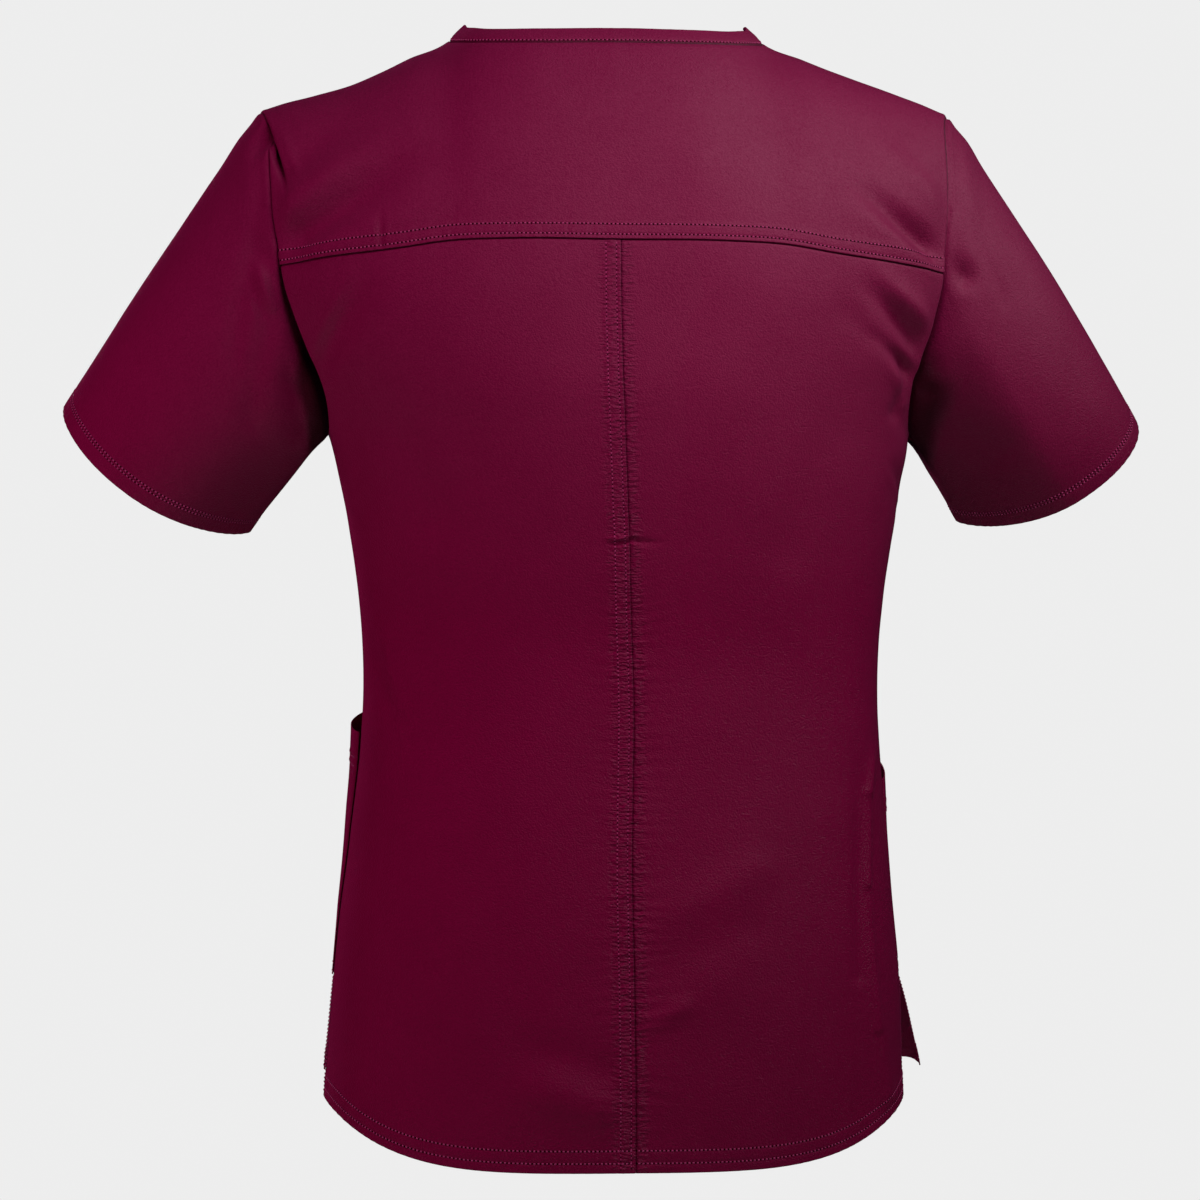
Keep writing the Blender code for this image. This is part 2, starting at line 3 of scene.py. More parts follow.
import bpy
import numpy as np
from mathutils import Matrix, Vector


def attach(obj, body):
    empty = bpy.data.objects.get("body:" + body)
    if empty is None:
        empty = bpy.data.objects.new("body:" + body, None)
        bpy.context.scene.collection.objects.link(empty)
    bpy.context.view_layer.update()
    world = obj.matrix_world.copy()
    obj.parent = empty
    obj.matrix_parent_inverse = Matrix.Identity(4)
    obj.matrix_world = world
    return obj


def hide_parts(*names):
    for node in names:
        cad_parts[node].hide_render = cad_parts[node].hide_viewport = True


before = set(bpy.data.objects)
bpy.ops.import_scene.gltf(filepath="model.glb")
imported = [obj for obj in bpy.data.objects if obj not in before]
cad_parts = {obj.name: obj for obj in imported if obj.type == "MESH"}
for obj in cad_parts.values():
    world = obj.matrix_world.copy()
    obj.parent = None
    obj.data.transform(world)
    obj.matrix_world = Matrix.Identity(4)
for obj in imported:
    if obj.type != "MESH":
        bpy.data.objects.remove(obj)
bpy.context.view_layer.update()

# A burgundy scrub top, filled out as if it were worn. Every panel is a closed shell worked out on a grid:
# rows and columns run between the panel's seam lines on one smooth trunk, and folds, laps, stitching
# grooves and puckers move the grid's points in or out. Lengths are in millimetres until a mesh is made.

metres = 0.001
sides = {"left": 1, "right": -1}  # the wearer's, and which way each lies along x
closeSteps = np.linspace(0, 1, 400)  # for lines that are resampled afterwards
inside = np.array([0, 0, -250])  # a point within the trunk, which tells outwards from inwards


def table(names, *rows):
    # Named columns from rows of numbers.
    return dict(zip(names.split(), np.array(rows, float).T))


def cubic(t, start, end, leave, arrive):
    # From start to end as t goes from 0 to 1, with these slopes at its ends.
    ends = start * (1 + 2 * t) * (1 - t) ** 2 + end * t * t * (3 - 2 * t)
    return ends + t * (1 - t) * (leave * (1 - t) - arrive * t)


def smoothAt(rows, key, column, at):
    # A cubic through a table's rows, whose slope at each row comes from the rows on either side.
    xs, ys = rows[key], rows[column]
    slopes = np.gradient(ys, xs)
    at = np.clip(at, xs[0], xs[-1])
    i = np.clip(np.searchsorted(xs, at) - 1, 0, len(xs) - 2)
    step = xs[i + 1] - xs[i]
    return cubic((at - xs[i]) / step, ys[i], ys[i + 1], step * slopes[i], step * slopes[i + 1])


def unit(vectors):
    # Each vector over its own length.
    return vectors / np.maximum(np.linalg.norm(vectors, axis=-1, keepdims=True), 1e-12)


def pointing(vectors, ways):
    # The same vectors, turned round where they point against these ways.
    return vectors * np.sign((vectors * ways).sum(axis=1, keepdims=True))


def ease(low, high, at):
    # 0 below low, 1 above high, and smooth between them.
    t = np.clip((at - low) / (high - low), 0, 1)
    return t * t * (3 - 2 * t)


def bump(at, middle, width):
    # A soft hill of height 1.
    return np.exp(-(((at - middle) / width) ** 2))


def lengthAlong(line):
    # How far along a line each of its points lies.
    return np.concatenate([[0], np.cumsum(np.linalg.norm(np.diff(line, axis=0), axis=1))])


def readAt(where, length, values):
    # Values that belong to a line's points, read between them at these lengths.
    return np.stack([np.interp(where, length, column) for column in values.T], axis=-1)


trunkForm = {
    "cornerPower": 2.3,  # level sections are superellipses: 2 is an ellipse, more is squarer
    "sections": table(
        "z    half   back  front  lean",
        (-800, 200.5, 127, 122, -6),
        (-725, 199.0, 126, 121, -6),
        (-640, 194.0, 119, 118, -8.5),
        (-545, 184.0, 107, 113, -10),
        (-480, 179.0, 100, 109, -11.5),
        (-420, 178.0, 98, 108, -12),
        (-350, 185.5, 106, 111, -12),
        (-300, 194.5, 114, 115, -11.5),
        (-271, 201.0, 118, 116, -10),
        (-248, 209.5, 121, 117, -8),
        (-215, 228.0, 122, 117, -6),
        (-180, 241.0, 122, 115, -4),
        (-130, 248.0, 120, 112, -2),
        (-60, 251.0, 116, 106, -1),
        (60, 251.0, 110, 100, -1),
    ),
    "shoulders": table(  # the ridge's height, and the height of the arch behind and before it
        "share left right back front",
        (0.00, 36.0, 36.0, 200, 190),
        (0.25, 29.0, 29.0, 198, 188),
        (0.38, 11.5, 11.8, 192, 184),
        (0.44, -1.2, -0.4, 188, 180),
        (0.54, -11.5, -10.2, 180, 174),
        (0.61, -20.5, -17.2, 172, 168),
        (0.70, -31.0, -25.8, 162, 160),
        (0.80, -38.5, -34.5, 150, 150),
        (0.90, -45.5, -43.5, 137, 140),
        (0.95, -50.5, -49.5, 130, 134),
        (1.00, -60.0, -60.0, 122, 126),
    ),
    "flatOval": (245, 120),  # the plain oval and arch on which the cloth's own coordinates are measured
    "flatArch": (120, 180),
}


def share(angle):
    # How far out a section's point lies: the cosine to the power 2 / cornerPower, with its sign kept.
    cos = np.cos(angle)
    return np.sign(cos) * np.abs(cos) ** (2 / trunkForm["cornerPower"])


def angleAt(part):
    # The angle at which the share is this.
    return np.arccos(np.sign(part) * np.abs(np.clip(part, -1, 1)) ** (trunkForm["cornerPower"] / 2))


def roundness(angle):
    # How deep it lies: the sine to the same power.
    return np.abs(np.sin(angle)) ** (2 / trunkForm["cornerPower"])


def archAt(part, face):
    # The ridge's height at this share of the width, and the arch's height on the back or the front.
    names = ("left", "right", "back", "front")
    left, right, back, front = (smoothAt(trunkForm["shoulders"], "share", n, np.abs(part)) for n in names)
    return np.where(part > 0, left, right), np.where(face > 0, back, front)


def sectionAt(z, column):
    return smoothAt(trunkForm["sections"], "z", column, z)


def trunkAt(angle, turn):
    # The angle goes round the trunk from 0 at the wearer's left side to pi at the right. The turn goes from
    # 0 on the shoulder ridge down the back, or below 0 down the front: a quarter of an arch, then straight
    # down. x = lean + half width * share, y = depth * roundness * sin(turn), z = ridge - height * fall.
    part = share(angle)
    ridge, height = archAt(part, turn)
    over = np.abs(turn)
    upright = np.minimum(over, math.pi / 2)
    z = ridge - height * (1 - np.cos(upright) + over - upright)
    half, back, front, lean = (sectionAt(z, column) for column in ("half", "back", "front", "lean"))
    depth = np.where(turn > 0, back, -front) * roundness(angle)
    return np.stack([lean + half * part, depth * np.sin(upright), z], axis=-1)


def flatAt(angle, turn):
    # The cloth's own coordinates in millimetres: round the trunk from the middle, and down from the ridge.
    wide, deep = trunkForm["flatOval"]
    steps = np.linspace(0, math.pi, 721)
    around = lengthAlong(np.stack([wide * share(steps), deep * roundness(steps)], axis=-1))
    out, high = trunkForm["flatArch"]
    quarter = np.linspace(0, math.pi / 2, 91)
    down = lengthAlong(np.stack([out * np.sin(quarter), high * np.cos(quarter)], axis=-1))
    over = np.abs(turn)
    length = np.interp(over, quarter, down)
    length = length + np.maximum(over - math.pi / 2, 0) * archAt(share(angle), turn)[1]
    return np.stack([around[-1] / 2 - np.interp(angle, steps, around), -np.sign(turn) * length], axis=-1)


def turnAt(angle, z, face):
    # The turn at which the trunk comes down to this height.
    ridge, height = archAt(share(angle), face)
    down = np.maximum(ridge - z, 0) / height
    over = np.where(down < 1, np.arccos(1 - np.minimum(down, 1)), math.pi / 2 + down - 1)
    return face * over


def wayAt(angle, turn, fractions):
    # Points of a line on the trunk at these fractions of its length along the cloth.
    angle, turn = np.broadcast_arrays(angle, turn)
    length = lengthAlong(trunkAt(angle, turn))
    return readAt(np.asarray(fractions) * length[-1], length, np.stack([angle, turn], axis=-1))


# Heights, and shares of the trunk's half width. A face is 1 on the back and -1 on the front.
seams = {
    "shoulderSeamForward": 25,
    "steepestSeam": 0.62,
    "neckPlaneFall": 0.12,
    "neckPoint": 0.432,
    "frontNeckPoint": 0.424,
    "vPoint": -168,
    "vBow": 0.93,
    "yokeSeam": -144.5,
    "yokeSeamTilt": -1.8,
    "yokeFall": table(
        "share fall",
        (0, 0), (0.3, 0), (0.45, 1.5), (0.6, 6.5), (0.78, 11.5), (0.93, 16), (1, 18),
    ),
    "armhole": table(  # in degrees
        "turn back front",
        (0, 20.5, 20.5), (0.45, 23.6, 25.5), (0.9, 24.2, 28), (1.6, 24.4, 29),
    ),
    "underarm": -271,
    "rowFall": 66,  # the row that ends at the underarm lies this much lower in the middle
    "ventTop": -642,
    "hem": {1: (-765, 40), -1: (-722, 14)},  # its height in the middle, and how far it rises to the sides
    "drift": table(  # how far the middle seam wanders from the trunk's own middle
        "z x",
        (-765, -6), (-718, -5.7), (-652, -3.3), (-585, -1.2), (-518, -0.8), (-451, -0.6), (-385, 1.9),
        (-345, 3.0), (-318, 4.3), (-285, 4.8), (-251, 3.8), (-218, 2.9), (-185, 1.7), (-144.5, 0),
    ),
    "pocketMouth": {"left": (-476, -430), "right": (-509, -430)},  # at the side seam and at the middle
    "ventFlare": {"left": (1, -8, 0, 0), "right": (17, -16, 9, 10)},  # out, forwards, up, the corner's drop
    "flarePowers": (0.85, 4),  # how it grows downwards and towards the corner
}
# The rows and columns count as the solids' do, so that the panels' lines run alike.
shoulderColumns, neckColumns = 6, 11
halfColumns = shoulderColumns + neckColumns
yokeRows = 12
panelRows = {1: (8, 18, 26, 30), -1: (12, 22, 30, 34)}  # underarm, pocket's mouth, vent and hem


def onSide(side, angle):
    return angle if side == "left" else math.pi - angle


def yokeSeamTurn(angle):
    # It falls away from the middle as the table says, and tilts a little.
    part = share(angle)
    fall = smoothAt(seams["yokeFall"], "share", "fall", np.abs(part))
    return turnAt(angle, seams["yokeSeam"] - fall - seams["yokeSeamTilt"] * part, 1)


def frontSeamTurn(angle):
    # It keeps the same distance forward of the ridge, as far as the trunk's own depth allows.
    depth = trunkForm["sections"]["front"][-1] * roundness(angle)
    return -np.arcsin(np.minimum(seams["shoulderSeamForward"] / depth, seams["steepestSeam"]))


seamTurns = {1: yokeSeamTurn, -1: frontSeamTurn}


def armholeAngle(face, turn):
    return np.radians(smoothAt(seams["armhole"], "turn", "back" if face > 0 else "front", np.abs(turn)))


def crossing(side, face):
    # The armhole's turn where the yoke's seam ends on it, by going back and forth between the two.
    turn = 0.5
    for _ in range(30):
        turn = (turn + abs(float(seamTurns[face](onSide(side, armholeAngle(face, turn)))))) / 2
    return turn


def armholeLine(side, face, fractions):
    # From the yoke's seam down to the underarm, which it reaches as a quarter of an oval.
    start, bend = crossing(side, face), seams["armhole"]["turn"][-1]
    turns = start + (bend - start) * closeSteps
    upper = armholeAngle(face, turns)
    bottom = abs(turnAt(onSide(side, 0.0), seams["underarm"], face))
    quarter = closeSteps[1:] * math.pi / 2
    angles = np.concatenate([upper, upper[-1] * np.cos(quarter)])
    turns = np.concatenate([turns, bend + (bottom - bend) * np.sin(quarter)])
    return wayAt(onSide(side, angles), face * turns, fractions)


def overShoulder(side, fractions):
    # The armhole's upper part, from the yoke's front seam over the ridge to its back seam.
    start, stop = -crossing(side, -1), crossing(side, 1)
    turns = start + (stop - start) * closeSteps
    angles = np.where(turns > 0, armholeAngle(1, turns), armholeAngle(-1, turns))
    return wayAt(onSide(side, angles), turns, fractions)


def yokeSeamLine(side, fractions):
    end = armholeAngle(1, crossing(side, 1))
    angles = onSide(side, math.pi / 2 + (end - math.pi / 2) * closeSteps)
    return wayAt(angles, yokeSeamTurn(angles), fractions)


def frontSeamLine(side, fractions):
    start = armholeAngle(-1, crossing(side, -1))
    angles = onSide(side, start + (angleAt(seams["frontNeckPoint"]) - start) * closeSteps)
    return wayAt(angles, frontSeamTurn(angles), fractions)


def backNeckline(side, fractions):
    # From the front seam over the ridge to the middle of the back. Behind the ridge it lies in a plane:
    # ridge - height (1 - cos turn) = -fall * depth * sin turn, solved for the turn.
    parts = seams["neckPoint"] * np.sqrt(1 - closeSteps**2) * sides[side]
    ridge, height = archAt(parts, 1)
    angles = angleAt(parts)
    fall = seams["neckPlaneFall"] * trunkForm["sections"]["back"][-1] * roundness(angles)
    turns = np.arctan2(fall, height) + np.arccos(np.clip((height - ridge) / np.hypot(fall, height), -1, 1))
    start = onSide(side, angleAt(seams["frontNeckPoint"]))
    before = closeSteps[:-1]
    firstAngles = start + (angles[0] - start) * np.sin(before * math.pi / 2)
    firstTurns = frontSeamTurn(start) + (turns[0] - frontSeamTurn(start)) * before
    return wayAt(np.concatenate([firstAngles, angles]), np.concatenate([firstTurns, turns]), fractions)


def vNeckline(side, fractions):
    # Straight in x down to the point, and nearly so in height.
    start = onSide(side, angleAt(seams["frontNeckPoint"]))
    top = trunkAt(start, frontSeamTurn(start))
    x = top[0] * (1 - closeSteps)
    z = top[2] + (seams["vPoint"] - top[2]) * closeSteps ** seams["vBow"]
    angles = angleAt(x / sectionAt(z, "half"))
    return wayAt(angles, turnAt(angles, z, -1), fractions)


def hemLine(side, face, start, fractions):
    # From the middle to the side, rising towards the vent as the fourth power of the cosine.
    hem, rise = seams["hem"][face]
    angles = start + (onSide(side, 0.0) - start) * closeSteps
    return wayAt(angles, turnAt(angles, hem + rise * np.cos(angles) ** 4, face), fractions)


def topLine(side, neckline, at):
    # From the armhole in along the front shoulder seam, and then round a neckline, by columns.
    found = np.zeros((len(at), 2))
    for line, low, high in ((frontSeamLine, 0, shoulderColumns), (neckline, shoulderColumns, halfColumns)):
        here = (at >= low) & (at <= high)
        found[here] = line(side, (at[here] - low) / (high - low))
    return found


def between(top, bottom, start, end, ends, u, v, settle=1, power=1):
    # The grid between four lines. Rows run straight from start to end, except that they take up the bends
    # of the top and bottom lines, less and less over this share of the way from each.
    u, v = u[None, :, None], v[:, None, None]
    grid = (1 - u) * start[:, None] + u * end[:, None]
    for line, corners, gone in ((top, ends[0], v), (bottom, ends[1], 1 - v)):
        straight = (1 - u) * corners[0] + u * corners[1]
        grid = grid + np.clip(1 - gone / settle, 0, 1) ** power * (line[None] - straight)
    return grid


def middleLevels(side, face):
    # The rows at which the line down a panel's middle has a set height, and those heights.
    rows, (_, mouth) = panelRows[face], seams["pocketMouth"][side]
    down, vent, hem = seams["underarm"] - seams["rowFall"], seams["ventTop"], seams["hem"][face][0]
    if face > 0:
        return (0, rows[0], rows[2], rows[3]), (seams["yokeSeam"], down, vent, hem)
    return (0, *rows), (seams["vPoint"], down, mouth, vent, hem)


def halfPanel(side, face, columns, rows):
    # A half of the back or the front at these columns, from the middle to the side, and these rows: the grid
    # between its four lines in angle and height, put on the trunk. With it go the cloth's own coordinates.
    armRow, _, ventRow, lastRow = panelRows[face]
    hem, rise = seams["hem"][face]

    def middle(r):
        z = np.interp(r, *middleLevels(side, face))
        drift = smoothAt(seams["drift"], "z", "x", z) if face > 0 else 0 * z
        angles = angleAt(drift / sectionAt(z, "half"))
        return np.stack([angles, turnAt(angles, z, face)], axis=-1)

    def edge(r):
        heights = (seams["underarm"], seams["pocketMouth"][side][0], seams["ventTop"], hem + rise)
        z = np.interp(r, panelRows[face], heights)
        angles = np.full_like(z, onSide(side, 0.0))
        arm = armholeLine(side, face, np.clip(r / armRow, 0, 1))
        return np.where((r < armRow)[:, None], arm, np.stack([angles, turnAt(angles, z, face)], axis=-1))

    def top(c):
        return yokeSeamLine(side, c / halfColumns) if face > 0 else topLine(side, vNeckline, halfColumns - c)

    def bottom(c):
        return hemLine(side, face, middle(np.array([lastRow]))[0, 0], c / halfColumns)

    def levels(line):
        return np.stack([line[:, 0], trunkAt(line[:, 0], line[:, 1])[:, 2]], axis=-1)

    corners = np.array([0.0, halfColumns])
    lines = [levels(line) for line in (top(columns), bottom(columns), middle(rows), edge(rows))]
    ends = (levels(top(corners)), levels(bottom(corners)))
    grid = between(*lines, ends, columns / halfColumns, rows / lastRow, settle=0.25, power=2)
    turns = turnAt(grid[..., 0], grid[..., 1], face)
    points, flat = trunkAt(grid[..., 0], turns), flatAt(grid[..., 0], turns)
    if face < 0:  # below the vents the side edge swings out and forwards
        out, forward, up, droop = seams["ventFlare"][side]
        downwards, sideways = seams["flarePowers"]
        below = np.clip((rows - ventRow) / (lastRow - ventRow), 0, 1)[:, None] ** downwards
        near = (columns / halfColumns)[None, :] ** sideways
        swing = (sides[side] * out * near, forward * near, up * near - droop * near**4)
        points = points + np.stack([below * part for part in swing], axis=-1)
    return points, flat


def yokePanel(columns, rows):
    # The yoke, its columns counted from the middle of the back: below 0 to the wearer's right.
    tops, bottoms = [], []
    for side, here in (("right", columns < 0), ("left", columns >= 0)):
        c = halfColumns - np.abs(columns[here])
        tops.append(topLine(side, backNeckline, c))
        bottoms.append(yokeSeamLine(side, 1 - c / halfColumns))
    armholes = [overShoulder(side, rows / yokeRows) for side in ("right", "left")]
    one = np.array([0.0, 1.0])
    corners = [np.array([frontSeamLine(side, one)[0] for side in ("right", "left")]),
               np.array([yokeSeamLine(side, one)[1] for side in ("right", "left")])]
    u = (columns + halfColumns) / (2 * halfColumns)
    grid = between(np.concatenate(tops), np.concatenate(bottoms), *armholes, corners, u, rows / yokeRows)
    return trunkAt(grid[..., 0], grid[..., 1]), flatAt(grid[..., 0], grid[..., 1])


drape = {
    "wall": 0.9,  # the shell's thickness
    "swells": ((115, 1.5), (46, 0.55), (17, 0.12)),  # soft unevenness: how far apart, how high
    "seed": 11,
    "foldStart": (-0.3, 0.55),  # over this share of its line a fold fades in
    "foldTurns": 20,  # and over this distance from the side it fades out
    "heldWithin": 22,  # a seam flattens the folds that lie nearer to it
    "heldLeast": 0.12,  # to this share
}
# The largest folds, which the solids have too, up to 15 mm away. A depth below 0 is a ridge.
folds = table(
    "face  x0   z0    x1    z1  width depth",
    (1, -188, -78, -233, -126, 9, -3.0),
    (1, -160, -118, -222, -157, 11, -2.6),
    (1, 140, -92, 226, -149, 13, 6.2),
    (1, 160, -76, 226, -130, 11, -4.0),
    (1, 180, -60, 229, -106, 9, 2.2),
    (1, 110, -116, 196, -150, 11, -2.0),
    (1, -174, -176, -222, -224, 8, 7.0),
    (1, -180, -166, -226, -204, 7, -4.0),
    (1, -186, -206, -220, -242, 6, 5.0),
    (1, -176, -200, -220, -234, 5, -2.4),
    (1, -180, -208, -212, -236, 6, 4.6),
    (1, -208, -228, -196, -258, 6, 3.4),
    (1, -190, -226, -204, -252, 5, -2.2),
    (1, 166, -170, 207, -240, 11, 4.0),
    (1, -196, -292, -208, -318, 9, 3.0),
    (-1, 120, -150, 200, -236, 20, 5.0),
    (-1, -112, -158, -198, -232, 20, 4.5),
    (-1, 150, -60, 196, -150, 18, 3.0),
    (-1, -150, -64, -198, -146, 18, 3.5),
)
# Smaller creases on top of them, laid one by one.
creases = table(
    "face  x0   z0    x1    z1  width depth",
    (1, 224, -62, 212, -96, 3.6, -1.2),
    (1, -174, -112, -243, -164, 8.5, 11.5),
    (1, 150, -100, 234, -153, 10, 2.6),
    (1, 112, -66, 212, -118, 17, -2.0),
    (1, 176, -166, 204, -221, 4.5, -1.5),
    (1, -232, -58, -240, -92, 5, 1.4),
    (1, 156, -127, 155, -148, 2.0, 1.8),
    (1, 238, -158, 228, -186, 4.0, -5.0),
    (1, 244, -168, 236, -192, 3.5, 3.0),
    (1, 4, -346.8, -8, -346.4, 1.5, 1.6),
    (1, 6, -343.8, -8, -343.6, 1.6, -1.4),
    (1, -29, -347.5, -10, -345, 2.0, 1.6),
    (1, 165, -398, 149, -456, 6, 1.5),
    (1, 158, -400, 143, -458, 5, -0.9),
    (1, -182, -489, -177.5, -516, 3.0, -2.0),
    (1, -177.5, -516, -175.5, -578, 2.6, -2.0),
    (1, -175.5, -578, -180.5, -676, 3, -1.8),
    (1, -170, -500, -168, -640, 4.5, 1.6),
    (1, -189, -296, -203, -316, 3.5, -1.4),
    (1, 66, -704, 14, -722, 15, -3.0),
    (1, 70, -676, 10, -698, 14, 1.9),
    (1, -16, -606, -96, -566, 13, -1.5),
    (1, -14, -640, -90, -604, 14, 1.2),
    (1, -18, -670, -44, -656, 7, -2.2),
    (1, -180, -640, -188, -720, 7, -2.4),
    (1, 130, -206, 96, -300, 20, 1.2),
    (1, -150, -190, -176, -206, 9, 1.2),
    (1, 152, -250, 120, -330, 16, 1.5),
    (1, -150, -250, -120, -350, 18, 1.8),
    (1, 90, -560, 60, -690, 20, 1.2),
    (1, -100, -520, -70, -640, 22, -1.3),
    (-1, 60, -250, 20, -330, 16, 2.0),
    (-1, -70, -230, -30, -320, 14, 1.8),
    (-1, 176, -330, 120, -390, 10, 1.8),
    (-1, -180, -336, -126, -386, 10, 2.0),
    (-1, 40, -190, 96, -214, 8, 1.4),
    (-1, -36, -186, -90, -208, 8, 1.2),
    (-1, 30, -560, 60, -690, 16, -1.6),
    (-1, -40, -540, -24, -680, 18, 1.5),
)
# Those that go on through the armhole's seam, which doesn't hold them.
armpits = table(
    "face  x0   z0    x1    z1  width depth",
    (1, 219.5, -106, 233, -60, 1.6, 6.5),
    (1, -229, -176, -207, -264, 11, 3.0),
    (1, 219, -222, 205, -268, 10, 4.0),
    (-1, -222, -200, -205, -268, 11, 5.0),
    (-1, 222, -200, 205, -268, 11, 5.0),
)


def besideLine(at, start, end, low=0.0):
    # How far along a line each point lies, as a share of it, and how far from it.
    away, run = at - np.array(start), np.subtract(end, start)
    along = (away @ run) / (run @ run)
    return along, np.linalg.norm(away - np.clip(along, low, 1)[..., None] * run, axis=-1)


def foldDepth(rows, points):
    # The sum of soft troughs: each depth * exp(-(gap / width)^2), with the gap to the fold's own line, which
    # it fades in along.
    low, high = drape["foldStart"]
    depth = np.zeros(points.shape[:-1])
    for face, x0, z0, x1, z1, width, deep in zip(*rows.values()):
        along, gap = besideLine(points[..., [0, 2]], (x0, z0), (x1, z1), low)
        seen = np.clip(points[..., 1] * face / drape["foldTurns"], 0, 1)
        depth += deep * ease(low, high, along) * seen * bump(gap, 0, width)
    return depth


def creased(points, held=1.0):
    # All of them together, flatter where a seam holds the cloth.
    return (foldDepth(folds, points) + foldDepth(creases, points)) * held + foldDepth(armpits, points)


def heldBy(distance):
    return drape["heldLeast"] + (1 - drape["heldLeast"]) * ease(0, drape["heldWithin"], distance)


def cloud(at, seed):
    # Smooth noise from -1 to 1 in any number of dimensions: corner values of a lattice, eased between.
    count = 64
    lattice = np.random.default_rng(seed).uniform(-1, 1, (count,) * at.shape[-1])
    low = np.floor(at).astype(int)
    t = ease(0, 1, at - low)
    total = np.zeros(at.shape[:-1])
    for corner in np.ndindex((2,) * at.shape[-1]):
        weight = np.prod(np.where(corner, t, 1 - t), axis=-1)
        total += weight * lattice[tuple(np.moveaxis((low + corner) % count, -1, 0))]
    return total


def swells(points):
    # Three sizes of soft unevenness, outwards.
    sizes = enumerate(drape["swells"])
    return sum(high * cloud(points / apart, drape["seed"] + i) for i, (apart, high) in sizes)


puckerForm = {
    "wander": ((17, 1.6), (41, 0.9)),  # changes of pitch along a seam: how far apart, how strong
    "swing": 2.2,
    "patches": (29, 0.9),  # high and low stretches
    "lowest": 0.25,
    "slant": (23, 0.15),
    "falloff": 1.4,
}
otherHalf = 300  # past the middle waves are read this much further on, so that the halves differ


def puckers(s, d, form, more=0):
    # Small waves across a seam: a sine of the length s along it, whose pitch and height wander, and which
    # dies away with the distance d from it. A form is their pitch, depth, reach and seed.
    pitch, depth, reach, seed = form

    def noise(apart, k):
        return cloud(s[..., None] / apart, seed + more + k)

    wander = sum(strong * noise(apart, k) for k, (apart, strong) in enumerate(puckerForm["wander"]))
    (apart, strong), lowest = puckerForm["patches"], puckerForm["lowest"]
    high = lowest + (1 - lowest) * np.clip(0.5 + strong * noise(apart, 2), 0, 1)
    apart, slant = puckerForm["slant"]
    phase = 2 * math.pi * (s + slant * d * noise(apart, 3)) / pitch + puckerForm["swing"] * wander
    return depth * high * np.sin(phase) * np.exp(-np.abs(d / reach) ** puckerForm["falloff"])


def mirrored(s):
    # Lengths away from the middle on either side, for the puckers.
    return np.abs(s) + otherHalf * (s < 0)


def gridNormals(grid, closed=False):
    down = np.gradient(grid, axis=0)
    along = np.roll(grid, -1, axis=1) - np.roll(grid, 1, axis=1) if closed else np.gradient(grid, axis=1)
    return unit(np.cross(along, down))


def pushed(grid, relief, closed=False):
    # Each point moved out along its normal by the relief.
    return grid + gridNormals(grid, closed) * relief[..., None]


def runAcross(grid, axis):
    # The length along each row or column, from its first point.
    steps = np.linalg.norm(np.diff(grid, axis=axis), axis=-1)
    first = np.zeros_like(np.take(steps, [0], axis=axis))
    return np.concatenate([first, np.cumsum(steps, axis=axis)], axis=axis)


def runAround(grid):
    # The same along the rows of a grid that closes on itself.
    return runAcross(np.concatenate([grid, grid[:, :1]], axis=1), 1)[:, :-1]


def graded(length, step, fine, first=True, last=True):
    # Positions from 0 to length, close together where stitching runs beside the first or the last edge.
    count = max(2, round(length / step))
    middle = np.linspace(0, length, count + 1)[1:-1]
    near = np.asarray(fine, float)
    reach = near[-1] + step * 0.5
    if first:
        middle = middle[middle > reach]
    if last:
        middle = middle[middle < length - reach]
    parts = [near if first else near[:1], middle, length - (near if last else near[:1])[::-1]]
    return np.concatenate(parts)


def finer(positions, fine, length=0):
    # These positions beside the start, or before the length where one is given. The last of them isn't kept:
    # it tells where the plain positions begin.
    *fine, gap = fine
    kept = positions[positions < length - gap] if length else positions[positions > gap]
    return np.unique(np.concatenate([kept, np.abs(length - np.array(fine))]))


edges = {"top": (0, 1), "bottom": (0, -1), "first": (1, 1), "last": (1, -1)}  # the axis, and the way in


def tuck(outer, uv, edge, reach=3.5, drop=1.3):
    # One more line past an edge, which sinks so that the neighbouring panel's edge lies over this one.
    axis, way = edges[edge]
    grid, flat, out = (np.moveaxis(values, axis, 0)[::way] for values in (outer, uv, gridNormals(outer)))
    drop = np.broadcast_to(drop, len(out[0]))[:, None]
    new = grid[0] + unit(grid[0] - grid[1]) * reach - out[0] * drop
    grid = np.concatenate([new[None], grid])[::way]
    flat = np.concatenate([flat[:1] + reach * unit(flat[:1] - flat[1:2]), flat])[::way]
    return np.moveaxis(grid, 0, axis), np.moveaxis(flat, 0, axis)


def rimsOf(rows, columns, closed):
    # The point numbers round a grid's open edges.
    index = np.arange(rows * columns).reshape(rows, columns)
    if closed:
        return [index[0, ::-1], index[-1]]
    return [np.concatenate([index[:-1, 0], index[-1, :-1], index[:0:-1, -1], index[0, :0:-1]])]


